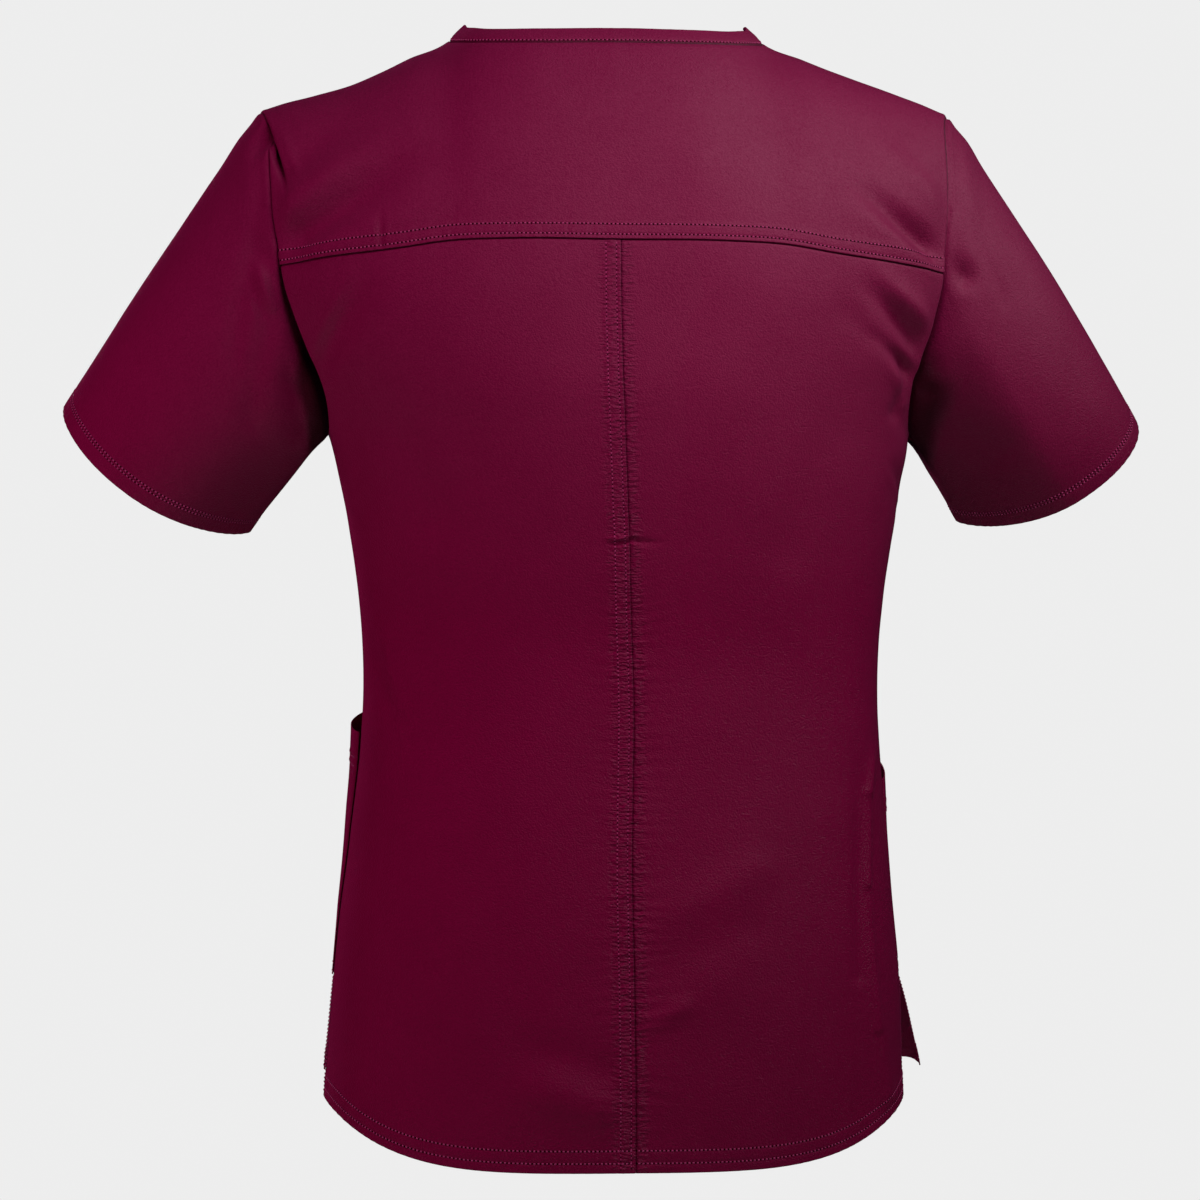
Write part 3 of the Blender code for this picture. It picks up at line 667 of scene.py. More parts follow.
def shell(name, outer, wall, uv, closed=False):
    # A closed shell: the outer grid, the same grid moved in by the wall, and a rounded rim between them.
    rows, columns = outer.shape[:2]
    count = rows * columns
    normals = gridNormals(outer, closed)
    inner = outer - normals * wall
    index = np.arange(count).reshape(rows, columns)
    if closed:
        index = np.concatenate([index, index[:, :1]], axis=1)
    face = np.stack([index[:-1, :-1], index[:-1, 1:], index[1:, 1:], index[1:, :-1]], axis=-1).reshape(-1, 4)
    points, faces = [outer.reshape(-1, 3), inner.reshape(-1, 3)], [face, face[:, ::-1] + count]
    uv = uv.reshape(count, -1)
    coords = [uv, uv]
    total = 2 * count
    for rim in rimsOf(rows, columns, closed):
        line, normal = outer.reshape(-1, 3)[rim], normals.reshape(-1, 3)[rim]
        away = unit(np.cross(normal, unit(np.roll(line, -1, axis=0) - np.roll(line, 1, axis=0))))
        points.append(line - normal * wall / 2 + away * wall * 0.4)
        coords.append(uv[rim])
        edge = total + np.arange(len(rim))
        for one, other in ((rim, edge), (edge, rim + count)):
            faces.append(np.stack([one, np.roll(one, -1), np.roll(other, -1), other], axis=-1))
        total += len(rim)
    return meshObject(name, np.concatenate(points), np.concatenate(faces), np.concatenate(coords))


def meshObject(name, points, faces, uv=None, triangles=None):
    mesh = bpy.data.meshes.new(name)
    sizes, loops = np.full(len(faces), 4), faces.reshape(-1)
    if triangles is not None:
        sizes = np.concatenate([sizes, np.full(len(triangles), 3)])
        loops = np.concatenate([loops, triangles.reshape(-1)])
    mesh.vertices.add(len(points))
    mesh.vertices.foreach_set("co", (points * metres).astype(np.float32).ravel())
    mesh.loops.add(len(loops))
    mesh.loops.foreach_set("vertex_index", loops.astype(np.int32))
    mesh.polygons.add(len(sizes))
    starts = np.concatenate([[0], np.cumsum(sizes)[:-1]])
    mesh.polygons.foreach_set("loop_start", starts.astype(np.int32))
    mesh.update(calc_edges=True)
    if uv is not None:
        mesh.uv_layers.new(name="UVMap").data.foreach_set("uv", uv[loops, :2].astype(np.float32).ravel())
        if uv.shape[1] > 2:  # how far each point lies in the armpit's shade
            paintedShade = mesh.attributes.new("pit", "FLOAT", "POINT")
            paintedShade.data.foreach_set("value", uv[:, 2].astype(np.float32))
    mesh.validate()
    mesh.shade_smooth()
    piece = bpy.data.objects.new(name, mesh)
    bpy.context.scene.collection.objects.link(piece)
    return piece


stitchForm = {
    "long": 1.7,
    "pitch": 2.8,
    "wide": 1.1,
    "high": 0.6,
    "sink": 0.03,
    "holeLong": 1.7,
    "holeWide": 1.55,
    "holeLift": 0.12,
    "wander": 0.05,
    "belly": ((1, 0), (0, 1), (-1, 0), (0, -0.6)),  # across and up, in half widths and half heights
    "bellyAt": 0.28,  # how far before and after the middle, in lengths
    "glance": 0.6,  # its way is read from the line this far before and after it
    "ends": -1.2,  # how low they go
    "seed": 40,
}


def stitchesAlong(line, normals, sunk, seed):
    # Lockstitches along a line: each is a pinched four-sided grain whose ends go into the cloth.
    pitch, high = stitchForm["pitch"], stitchForm["high"]
    length = lengthAlong(line)
    at = np.arange(pitch, length[-1] - pitch / 2, pitch)
    middle, out = readAt(at, length, line), unit(readAt(at, length, normals))
    glance = stitchForm["glance"]
    ahead = unit(readAt(at + glance, length, line) - readAt(at - glance, length, line))
    across = unit(np.cross(out, ahead))
    jitter = np.random.default_rng(seed).uniform(-1, 1, (len(at), 1))
    middle = middle + across * stitchForm["wander"] * jitter
    bellies = [(way * stitchForm["bellyAt"], *side) for way in (-1, 1) for side in stitchForm["belly"]]
    grain = [(-0.5, 0, stitchForm["ends"]), *bellies, (0.5, 0, stitchForm["ends"])]
    local = np.array(grain) * [stitchForm["long"], stitchForm["wide"] / 2, high / 2]
    local = local + [0, 0, high * 0.5 - stitchForm["sink"] - sunk]
    points = middle[:, None] + np.einsum("pk,nkj->npj", local, np.stack([ahead, across, out], axis=1))
    k = np.arange(4)
    after = (k + 1) % 4
    quads = np.stack([1 + k, 5 + k, 5 + after, 1 + after], axis=-1)
    caps = [np.stack([0 * k, 1 + k, 1 + after], axis=-1), np.stack([9 + 0 * k, 5 + after, 5 + k], axis=-1)]
    start = (np.arange(len(at)) * len(grain))[:, None, None]
    quads = (quads[None] + start).reshape(-1, 4)
    caps = (np.concatenate(caps)[None] + start).reshape(-1, 3)
    # between two stitches the needle's hole: a dark lozenge that lies on the cloth, as painted shade
    at = at + pitch / 2
    middle, out = readAt(at, length, line), unit(readAt(at, length, normals))
    lozenge = np.array([(-0.5, 0), (0, 0.5), (0.5, 0), (0, -0.5)]) * (1 - sunk)
    lozenge = lozenge * [stitchForm["holeLong"], stitchForm["holeWide"]]
    shadedHoles = middle[:, None] + out[:, None] * stitchForm["holeLift"]
    shadedHoles = shadedHoles + lozenge[None, :, :1] * ahead[:, None] + lozenge[None, :, 1:] * across[:, None]
    return points.reshape(-1, 3), quads, caps, shadedHoles.reshape(-1, 3)


def sewn(name, rows):
    # One piece from several rows of stitches, and one from the painted shade of their holes.
    made = [stitchesAlong(*row, stitchForm["seed"] + i) for i, row in enumerate(rows)]
    points, quads, caps, shadedHoles = zip(*made)
    starts = np.cumsum([0, *map(len, points)])
    quads, caps = (np.concatenate([part + at for part, at in zip(parts, starts)]) for parts in (quads, caps))
    shadedHoles = np.concatenate(shadedHoles)
    thread = meshObject(name, np.concatenate(points), quads, triangles=caps)
    holeShadePiece = meshObject(name + "_painted_hole_shade", shadedHoles, np.arange(len(shadedHoles)).reshape(-1, 4))
    for piece, material in ((thread, burgundyThread), (holeShadePiece, holeShadeMaterial)):
        piece.data.materials.append(material)
        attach(piece, "root")


def lineAtOffset(grid, distance, offset, axis):
    # The line across a grid where the distance first reaches the offset, read between its points.
    index = np.clip((distance < offset).sum(axis=axis, keepdims=True) - 1, 0, grid.shape[axis] - 2)
    low, high = (np.take_along_axis(distance, index + k, axis) for k in (0, 1))
    t = ((offset - low) / np.maximum(high - low, 1e-9))[..., None]
    a, b = (np.take_along_axis(grid, (index + k)[..., None], axis) for k in (0, 1))
    return np.squeeze(a + (b - a) * t, axis=axis)


def rowsBeside(outer, distance, edge, offsets, keep=slice(None), sunk=0, closed=False):
    # Rows of stitches at these distances from an edge. Each is a line on the cloth, its normals, and how
    # far the thread is pulled in.
    axis, way = edges[edge]
    grids = [outer, gridNormals(outer, closed), distance]
    outer, normals, distance = (np.flip(grid, axis) if way < 0 else grid for grid in grids)
    if closed:
        keep = np.append(np.arange(outer.shape[1]), 0)
    return [(*(lineAtOffset(grid, distance, offset, axis)[keep] for grid in (outer, normals)), sunk)
            for offset in offsets]


# Colours are linear. Where there are two, they are the darkest and the palest.
clothLook = {
    "colour": ((0.101, 0.0002, 0.0194), (0.133, 0.0006, 0.0264)),
    # painted sheen: paler over the shoulders, where the light falls from above
    "paintedSheen": ((0.106, 0.0010, 0.0238), (0.138, 0.0026, 0.0340)),  # over the shoulders
    "paintedSheenFrom": (-0.40, -0.12),  # heights in metres
    "unevenness": (0.6, 0.6, 1.7),  # how much the clouds, the yarns and the grain change the colour
    "roughness": 0.27,
    "rougher": 0.24,  # over the shoulders
    "grainRoughness": 0.18,
    "coat": 0.31,  # over the shoulders, where it is pressed smoother
    "weaveBump": 0.36,
    "bumps": (0.35, 2.2, 6.5),  # the ribs', the grain's and the puckers' share of it
    # painted shade: how far the seams' grooves and the armpits are darkened, and the painted shadow's colour
    "paintedShadeStrength": 0.75,
    "paintedShadow": (0.02, 0.0002, 0.003),
    "shader": {
        "IOR": 1.3,
        "Specular IOR Level": 0.42,
        "Specular Tint": (0.9, 0.75, 1.0, 1),
        "Coat Roughness": 0.66,
        "Sheen Weight": 0.02,
        "Sheen Roughness": 0.42,
        "Sheen Tint": (0.9, 0.3, 0.7, 1),
    },
}
weaveLook = {
    "ribs": 0.85,  # to the millimetre
    # the ribs', the weft's and the warp's turn, stretch and scale
    "yarns": ((0.62, (1, 0.2, 1), 1.0), (0, (0.1, 1, 1), 0.7), (0, (1, 0.12, 1), 0.5)),
    "shares": (0.6, 0.4, 0.5),  # the weft's and the warp's share of the yarns, and theirs of the whole
    "yarnDetail": 1.5,
    "clouds": ((16, 3), (850, 2)),  # the scale and detail of the dye's clouds and of the nap's grain
    "cloudRoughness": 0.65,
    "waves": {"Scale": 0.5, "Detail": 2},
    "waveStretch": (0.33, 1, 1),
    "waveMiddle": 3,
    "waveReach": (15, 8),
    # painted shade in the grooves along the seams
    "paintedGrooveShade": ((0, -0.5, (0.9, 0.2), 0.4), (1, -0.3, (1.3, 0.6), 1)),  # axis, place, reach and darkness
}
threadLook = {
    "colour": ((0.198, 0.018, 0.072), (0.33, 0.03, 0.12)),
    "fibres": 900,
    "shader": {"Roughness": 0.6, "Sheen Weight": 0.03, "Specular IOR Level": 0.15},
    # painted shade of the needles' holes
    "holeShade": {"Base Color": (0.010, 0.0001, 0.0012, 1), "Roughness": 0.9, "Specular IOR Level": 0.05},
}


def setInputs(tree, node, inputs):
    # Each input gets a plain value, or a link from another node's socket.
    for key, value in inputs.items():
        if isinstance(value, bpy.types.NodeSocket):
            tree.links.new(value, node.inputs[key])
        else:
            node.inputs[key].default_value = value


def addNode(tree, kind, inputs=None, **settings):
    node = tree.nodes.new(kind)
    for name, value in settings.items():
        setattr(node, name, value)
    setInputs(tree, node, inputs or {})
    return node


def mathNode(tree, operation, *values):
    return addNode(tree, "ShaderNodeMath", dict(enumerate(values)), operation=operation).outputs[0]


def mixColour(tree, factor, *colours):
    a, b = ((*colour, 1) if isinstance(colour, tuple) else colour for colour in colours)
    node = addNode(tree, "ShaderNodeMix", data_type="RGBA")
    setInputs(tree, node, {"Factor": factor, "A": a, "B": b})
    return [socket for socket in node.outputs if socket.type == "RGBA"][0]


def noiseAt(tree, vector, inputs, **settings):
    return addNode(tree, "ShaderNodeTexNoise", {"Vector": vector, **inputs}, **settings).outputs["Fac"]


def rampNode(tree, value, low, high, top=1.0, kind="SMOOTHSTEP"):
    # From 0 at low to top at high.
    inputs = {"Value": value, "From Min": low, "From Max": high, "To Max": top}
    return addNode(tree, "ShaderNodeMapRange", inputs, interpolation_type=kind).outputs[0]


def newGroup(name, inputs, outputs):
    group = bpy.data.node_groups.new(name, "ShaderNodeTree")
    for label, kind, value in inputs:
        socket = group.interface.new_socket(label, in_out="INPUT", socket_type=kind)
        if value is not None:
            socket.default_value = value
    for label in outputs:
        group.interface.new_socket(label, in_out="OUTPUT", socket_type="NodeSocketFloat")
    return group, group.nodes.new("NodeGroupInput").outputs, group.nodes.new("NodeGroupOutput")


def twillGroup():
    # Diagonal ribs on the cloth's own UV, in millimetres, broken up by yarns of uneven thickness. They are
    # noise drawn out along the diagonal, so they stay soft from far away.
    ribs = ("Ribs To The Millimetre", "NodeSocketFloat", weaveLook["ribs"])
    group, start, end = newGroup("twill", [("UV", "NodeSocketVector", None), ribs], ["Height", "Tone"])
    found = []
    for turn, stretch, scale in weaveLook["yarns"]:
        turned = addNode(group, "ShaderNodeMapping", {"Vector": start["UV"], "Rotation": (0, 0, turn)})
        spread = addNode(group, "ShaderNodeMapping", {"Vector": turned.outputs[0], "Scale": stretch})
        inputs = {"Scale": mathNode(group, "MULTIPLY", start[1], scale), "Detail": weaveLook["yarnDetail"]}
        found.append(noiseAt(group, spread.outputs[0], inputs, noise_dimensions="2D"))
    (rib, weft, warp), (weftShare, warpShare, half) = found, weaveLook["shares"]
    yarn = mathNode(group, "MULTIPLY_ADD", weft, weftShare, mathNode(group, "MULTIPLY", warp, warpShare))
    yarn = mathNode(group, "MULTIPLY", yarn, half)
    tone = mathNode(group, "MULTIPLY_ADD", rib, half, yarn)
    setInputs(group, end, {"Height": mathNode(group, "ADD", rib, yarn), "Tone": tone})
    return group


def mottleGroup():
    # Cloudy unevenness of the dye, and the nap's fine grain, each from 0 to 1.
    group, start, end = newGroup("mottle", [("Vector", "NodeSocketVector", None)], ["Cloud", "Grain"])
    for name, (scale, detail) in zip(("Cloud", "Grain"), weaveLook["clouds"]):
        inputs = {"Scale": scale, "Detail": detail, "Roughness": weaveLook["cloudRoughness"]}
        setInputs(group, end, {name: noiseAt(group, start["Vector"], inputs)})
    return group


def puckerGroup():
    # Fine waves that the stitching draws the cloth into, on either side of the line where U is 0, and the
    # painted shade in the grooves along that line and along the upper edge.
    group, start, end = newGroup("puckers", [("UV", "NodeSocketVector", None)], ["Height", "Painted Shade"])
    split = addNode(group, "ShaderNodeSeparateXYZ", {0: start["UV"]}).outputs

    def beside(axis, at, reach, top=1.0):
        away = mathNode(group, "ABSOLUTE", mathNode(group, "SUBTRACT", split[axis], at))
        return rampNode(group, away, *reach, top)

    spread = addNode(group, "ShaderNodeMapping", {"Vector": start["UV"], "Scale": weaveLook["waveStretch"]})
    noise = noiseAt(group, spread.outputs[0], weaveLook["waves"], noise_dimensions="2D")
    near = beside(0, weaveLook["waveMiddle"], weaveLook["waveReach"])
    wave = mathNode(group, "MULTIPLY", mathNode(group, "SUBTRACT", noise, 0.5), near)
    # painted shade: darkest on the seam lines
    paintedShade = mathNode(group, "MAXIMUM", *(beside(*groove) for groove in weaveLook["paintedGrooveShade"]))
    setInputs(group, end, {"Height": wave, "Painted Shade": paintedShade})
    return group


def newMaterial(name, values):
    # A material whose shader has these plain values.
    material = bpy.data.materials.new(name)
    material.use_nodes = True
    shader = material.node_tree.nodes["Principled BSDF"]
    setInputs(material.node_tree, shader, values)
    return material, material.node_tree, shader


def clothMaterial(name, groups):
    # The dye goes from its darkest to its palest with the clouds, the yarns and the grain. Towards the
    # shoulders it is rougher, with a soft coat, and painted paler: a painted sheen where the light falls.
    material, tree, shader = newMaterial(name, clothLook["shader"])
    place = addNode(tree, "ShaderNodeTexCoord").outputs["Object"]
    uv = addNode(tree, "ShaderNodeUVMap", uv_map="UVMap").outputs[0]
    twill, mottle, *waves = (addNode(tree, "ShaderNodeGroup", node_tree=group) for group in groups)
    for node, vector in ((twill, uv), (mottle, place), *((wave, uv) for wave in waves)):
        setInputs(tree, node, {0: vector})
    cloudy, yarns, grain = mottle.outputs["Cloud"], twill.outputs["Tone"], mottle.outputs["Grain"]
    light = 0.5
    for output, amount in zip((cloudy, yarns, grain), clothLook["unevenness"]):
        light = mathNode(tree, "MULTIPLY_ADD", mathNode(tree, "SUBTRACT", output, 0.5), amount, light)
    light.node.use_clamp = True
    height = addNode(tree, "ShaderNodeSeparateXYZ", {0: place}).outputs[2]
    # painted sheen: the colour turns paler with height towards the shoulders
    fade = rampNode(tree, height, *clothLook["paintedSheenFrom"], kind="LINEAR")
    dyed = mixColour(tree, fade, *(mixColour(tree, light, *clothLook[key]) for key in ("colour", "paintedSheen")))
    ribBump, grainBump, puckerBump = clothLook["bumps"]
    weave = mathNode(tree, "MULTIPLY_ADD", twill.outputs["Height"], ribBump,
                     mathNode(tree, "MULTIPLY", grain, grainBump))
    for wave in waves:
        # painted shade in the seams' grooves and in the armpits, which the sleeves carry as the pit
        # attribute
        pit = addNode(tree, "ShaderNodeAttribute", attribute_name="pit").outputs["Fac"]
        paintedShade = mathNode(tree, "MAXIMUM", wave.outputs["Painted Shade"], pit)
        paintedShade = mathNode(tree, "MULTIPLY", paintedShade, clothLook["paintedShadeStrength"])
        dyed = mixColour(tree, paintedShade, dyed, clothLook["paintedShadow"])
        weave = mathNode(tree, "MULTIPLY_ADD", wave.outputs["Height"], puckerBump, weave)
    rough = mathNode(tree, "MULTIPLY_ADD", fade, clothLook["rougher"], clothLook["roughness"])
    worn = mathNode(tree, "MULTIPLY", fade, light)
    bumps = {"Strength": 1, "Distance": clothLook["weaveBump"] * metres, "Height": weave}
    setInputs(tree, shader, {
        "Base Color": dyed,
        "Roughness": mathNode(tree, "MULTIPLY_ADD", grain, clothLook["grainRoughness"], rough),
        "Normal": addNode(tree, "ShaderNodeBump", bumps).outputs[0],
        "Coat Weight": mathNode(tree, "MULTIPLY", worn, 2 * clothLook["coat"]),
    })
    return material


def threadMaterial():
    material, tree, shader = newMaterial("burgundy_thread", threadLook["shader"])
    place = addNode(tree, "ShaderNodeTexCoord").outputs["Object"]
    fibres = noiseAt(tree, place, {"Scale": threadLook["fibres"]})
    setInputs(tree, shader, {"Base Color": mixColour(tree, fibres, *threadLook["colour"])})
    return material


weaves = twillGroup(), mottleGroup()
burgundyTwill = clothMaterial("burgundy_twill", weaves)
# with the painted shade of the seams' grooves and of the armpits
puckeredShadedTwill = clothMaterial("puckered_burgundy_twill_painted_shade", (*weaves, puckerGroup()))
burgundyThread = threadMaterial()
# painted shade for the needles' holes
holeShadeMaterial = newMaterial("needle_hole_painted_shade", threadLook["holeShade"])[0]


def addCloth(node, outer, uv, look, closed=False):
    # The cloth that stands for a node: a shell on its grid, with the look's wall or else the drape's.
    piece = shell(node + "_cloth", outer, look.get("wall", drape["wall"]), uv, closed)
    puckeredAndShaded = node.startswith(("back", "sleeve", "neckband"))
    piece.data.materials.append(puckeredShadedTwill if puckeredAndShaded else burgundyTwill)
    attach(piece, "root")
    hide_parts(node)
    print(piece.name, len(piece.data.polygons), "faces")


felled = {  # a folded seam allowance with two rows of stitching through it
    "lap": 0.7,  # how far the lapping edge stands over its neighbour
    "width": 10.6,  # the allowance
    "rows": (2.6, 9.6),  # the stitching's distance from the edge
    "groove": 0.42,
    "grooveWidth": 0.85,
    # how far from the edge the grid's closer lines lie, here and in the dictionaries below
    "fine": (0, 0.35, 0.8, 1.4, 2.0, 2.6, 3.2, 4.2, 5.6, 7, 8.2, 9, 9.6, 10.2, 11, 12.2, 14),
}
hemForm = {
    "width": 15.5,
    "rows": (6.2, 14.6),
    "lap": 0.35,
    "groove": 0.4,
    "grooveWidth": 0.9,
    "fine": (0, 0.5, 1.2, 2.2, 3.6, 5, 6.2, 7.4, 9, 11, 12.6, 13.6, 14.6, 15.6, 17),
    "puckers": (7.5, 0.22, 13, 90),
}
armholeForm = {"roll": 0.35, "rollAt": 2.2, "rollWidth": 2, "dip": 0.35, "dipWidth": 0.8, "fade": (-8, 6)}
ventRows = (3.0, 9.0)
allowanceFade = (-0.6, 1.4)  # past its width, where its thickness goes


def stitched(d, form):
    # The relief beside an edge: the allowance's thickness, less a groove under each row of stitching.
    relief = form["lap"] * (1 - ease(*allowanceFade, d - form["width"]))
    for row in form["rows"]:
        relief = relief - form["groove"] * bump(d, row, form["grooveWidth"])
    return relief


def besideArmhole(distance, amount=1):
    # Beside the armhole's seam: a soft hill, less a dip at the seam itself that dies away as exp(-distance).
    roll = amount * armholeForm["roll"] * bump(distance, armholeForm["rollAt"], armholeForm["rollWidth"])
    return roll - armholeForm["dip"] * np.exp(-distance / armholeForm["dipWidth"])


def aboveUnderarm(points):
    low, high = armholeForm["fade"]
    return ease(seams["underarm"] + low, seams["underarm"] + high, points[..., 2])


def hanging(points, fromSide):
    # The swells less the folds, which the armhole's seam flattens where there is one.
    return swells(points) - creased(points, 1 - aboveUnderarm(points) * (1 - heldBy(fromSide)))


backLook = {
    "wide": 285.0,  # columns are counted in millimetres over this before they are put on the trunk
    "step": 3.0,
    "down": 1.9,
    "topFine": (0, 0.4, 0.9, 1.5, 2.2, 3),
    "sideFine": (0, 0.6, 1.2, 2, 3, 4.5, 6),
    "middleFine": (0, 0.4, 0.9, 1.6, 2.6, 4, 6, 8.5, 11),
    "notch": (195, 207, 0.75),  # finer where a crease crosses the middle seam
    "middlePuckers": (8.2, 0.5, 17, 70),  # their pitch, depth, reach and seed, here and below
    "slacker": (1.1, 0.6, -560, -300),  # their strength at the hem, and how much less it is above the waist
    "yokePuckers": (8.5, 0.16, 12, 60),
    "underYoke": 1.6,
    "underSeam": 1.0,
    "threadSunk": 0.34,
    "flat": (0.30, 0.66),
    "area": 0.165,
}


def buildBack(side):
    # A half of the back: the trunk's grid moved along its normals by the swells less the folds, the hem's
    # and the felled seam's relief, the puckers beside them, and the dips under the edges that lie over it.
    sign, left = sides[side], side == "left"
    rows, heights = middleLevels(side, 1)
    notch, wide = np.arange(*backLook["notch"]), backLook["wide"]
    down = graded(heights[0] - heights[-1], backLook["down"], hemForm["fine"], first=False)
    down = down[(down < notch[0] - 0.5) | (down > notch[-1] + 0.5)]
    down = np.sort(np.concatenate([finer(down, backLook["topFine"]), notch]))
    columns = graded(wide, backLook["step"], felled["fine"] if left else backLook["middleFine"], last=False)
    columns = finer(columns, backLook["sideFine"], wide) / wide * halfColumns
    grid = halfPanel(side, 1, columns, np.interp(down, heights[0] - np.array(heights), rows))[0]
    grid = grid if left else grid[:, ::-1]
    across, below = runAcross(grid, 1), runAcross(grid, 0)
    fromMiddle = across if left else across[:, -1:] - across
    fromSide, fromHem = across[:, -1:] - fromMiddle, below[-1:] - below
    alongMiddle = below[:, :1] if left else below[:, -1:]
    strong, less, low, high = backLook["slacker"]
    slack = strong - less * ease(low, high, grid[..., 2])
    relief = hanging(grid, fromSide) + stitched(fromHem, hemForm)
    relief += slack * puckers(alongMiddle + 0 * fromMiddle, sign * fromMiddle, backLook["middlePuckers"])
    relief += puckers(fromMiddle, fromHem, hemForm["puckers"], sign)
    relief += puckers(fromMiddle + otherHalf * (not left), below, backLook["yokePuckers"])
    relief -= backLook["underYoke"] * bump(below, 0, 1)
    relief += stitched(fromMiddle, felled) if left else -backLook["underSeam"] * bump(fromMiddle, 0, 1)
    relief += besideArmhole(fromSide, aboveUnderarm(grid))
    outer = pushed(grid, relief)
    padded, uv = tuck(outer, np.stack([sign * fromMiddle, -below], axis=-1), "top")
    if not left:
        padded, uv = tuck(padded, uv, "last", reach=6, drop=-0.1)
    addCloth("back_" + side, padded, uv, backLook)
    rowsSewn = rowsBeside(outer, fromHem, "bottom", hemForm["rows"])
    if left:
        sunk = backLook["threadSunk"]
        rowsSewn += rowsBeside(outer, fromMiddle, "first", felled["rows"], slice(2, -2), sunk)
    vent = grid[:, -1 if left else 0, 2] < seams["ventTop"]
    rowsSewn += rowsBeside(outer, fromSide, "last" if left else "first", ventRows, vent)
    sewn("back_%s_stitches" % side, rowsSewn)


yokeLook = {
    "wide": 285.0,
    "tall": 205.0,
    "step": 2.2,
    "down": 3.2,
    "topFine": (0, 0.6, 1.4, 2.4, 3.4),
    "sideFine": (0, 0.6, 1.2, 2, 3, 4.5, *np.arange(6, 24.5, 1.2), 25),
    "fullness": (0.25, 30),  # how far it stands off at its seam, and how far up
    "puckers": (8.5, 0.2, 13, 60),
    "dip": (0.3, 1.3),  # at its upper edge
    "underBand": 0.6,
    "tuck": (0.5, 0.8),  # how far that edge sinks, and how much further at the neck
    "flat": (0.55, 0.24),
    "area": 0.102,
}


def buildYoke():
    # The yoke: like a half of the back, with the felled seam's relief along its lower edge. Its upper edge
    # dips, and more so where the neckband lies over it.
    wide, tall = yokeLook["wide"], yokeLook["tall"]
    half = finer(np.linspace(0, wide, round(wide / yokeLook["step"]) + 1), yokeLook["sideFine"], wide)
    columns = np.concatenate([-half[:0:-1], half]) / wide * halfColumns
    down = finer(graded(tall, yokeLook["down"], felled["fine"], first=False), yokeLook["topFine"])
    grid, uv = yokePanel(columns, down / tall * yokeRows)
    across, below = runAcross(grid, 1), runAcross(grid, 0)
    fromSeam, fromMiddle = below[-1:] - below, across - across[:, [len(half) - 1]]
    fromRight, fromLeft = across, across[:, -1:] - across
    atNeck = ease(-neckColumns - 0.5, -neckColumns + 0.5, -np.abs(columns))
    off, reach = yokeLook["fullness"]
    dip, dipReach = yokeLook["dip"]
    relief = swells(grid) - creased(grid, heldBy(np.minimum(fromRight, fromLeft)))
    relief += stitched(fromSeam, felled) + off * (1 - ease(0, reach, fromSeam))
    relief += puckers(mirrored(fromMiddle), fromSeam, yokeLook["puckers"])
    relief -= (dip + yokeLook["underBand"] * atNeck) * np.exp(-below / dipReach)
    relief += besideArmhole(fromRight) + besideArmhole(fromLeft)
    outer = pushed(grid, relief)
    plain, more = yokeLook["tuck"]
    addCloth("yoke", *tuck(outer, uv, "top", reach=2.5, drop=plain + more * atNeck), yokeLook)
    sewn("yoke_stitches", rowsBeside(outer, fromSeam, "bottom", felled["rows"], slice(1, -1)))


for side in sides:
    buildBack(side)
buildYoke()
print("back and yoke")

frontLook = {
    "wide": 290.0,
    "tall": 560.0,
    "step": 3.1,
    "down": 3.0,
    "topFine": (0, 0.6, 1.4, 2.4, 4, 5),
    "sideFine": (0, 0.6, 1.2, 2, 3, 4.5, 7, 8),
    "topDip": (1.0, 1.3),
    "sideDip": (0.35, 0.7, 1.2),  # everywhere, more at the side seams, and how wide
    "shoulderRows": (2.4, 8.6),
    "flat": (0.62, 0.74),
    "area": 0.36,
}


def buildFront():
    # The front: both halves in one grid, moved out like the back, with dips at the side seams.
    wide, tall = frontLook["wide"], frontLook["tall"]
    half = finer(np.linspace(0, wide, round(wide / frontLook["step"]) + 1), frontLook["sideFine"], wide)
    down = finer(graded(tall, frontLook["down"], hemForm["fine"], first=False), frontLook["topFine"])
    rows = down / tall * panelRows[-1][-1]
    halves = zip(*(halfPanel(side, -1, half / wide * halfColumns, rows) for side in sides))
    grid, uv = (np.concatenate([left[:, ::-1], right[:, 1:]], axis=1) for left, right in halves)
    across, below = runAcross(grid, 1), runAcross(grid, 0)
    fromMiddle, fromHem = across - across[:, [len(half) - 1]], below[-1:] - below
    fromLeft, fromRight = across, across[:, -1:] - across
    fromSide, z = np.minimum(fromLeft, fromRight), grid[..., 2]
    relief = hanging(grid, fromSide) + stitched(fromHem, hemForm)
    relief += puckers(mirrored(fromMiddle), fromHem, hemForm["puckers"], 5)
    dip, reach = frontLook["topDip"]
    relief -= dip * np.exp(-below / reach)
    vent, underarm = seams["ventTop"], seams["underarm"]
    seam = ease(vent - 4, vent + 4, z) * ease(-underarm - 8, -underarm + 4, -z)
    dip, more, reach = frontLook["sideDip"]
    relief -= (dip + more * seam) * np.exp(-fromSide / reach)
    outer = pushed(grid, relief)
    addCloth("front", *tuck(outer, uv, "top"), frontLook)
    rowsSewn = rowsBeside(outer, fromHem, "bottom", hemForm["rows"])
    shoulder = int(shoulderColumns / halfColumns * (len(half) - 1)) + 3
    for offset in frontLook["shoulderRows"]:
        for part in (slice(1, shoulder), slice(-shoulder, -1)):
            rowsSewn += rowsBeside(outer, below, "top", [offset], part)
    for edge, distance, column in (("first", fromLeft, 0), ("last", fromRight, -1)):
        rowsSewn += rowsBeside(outer, distance, edge, ventRows, outer[:, column, 2] < seams["ventTop"])
    sewn("front_stitches", rowsSewn)


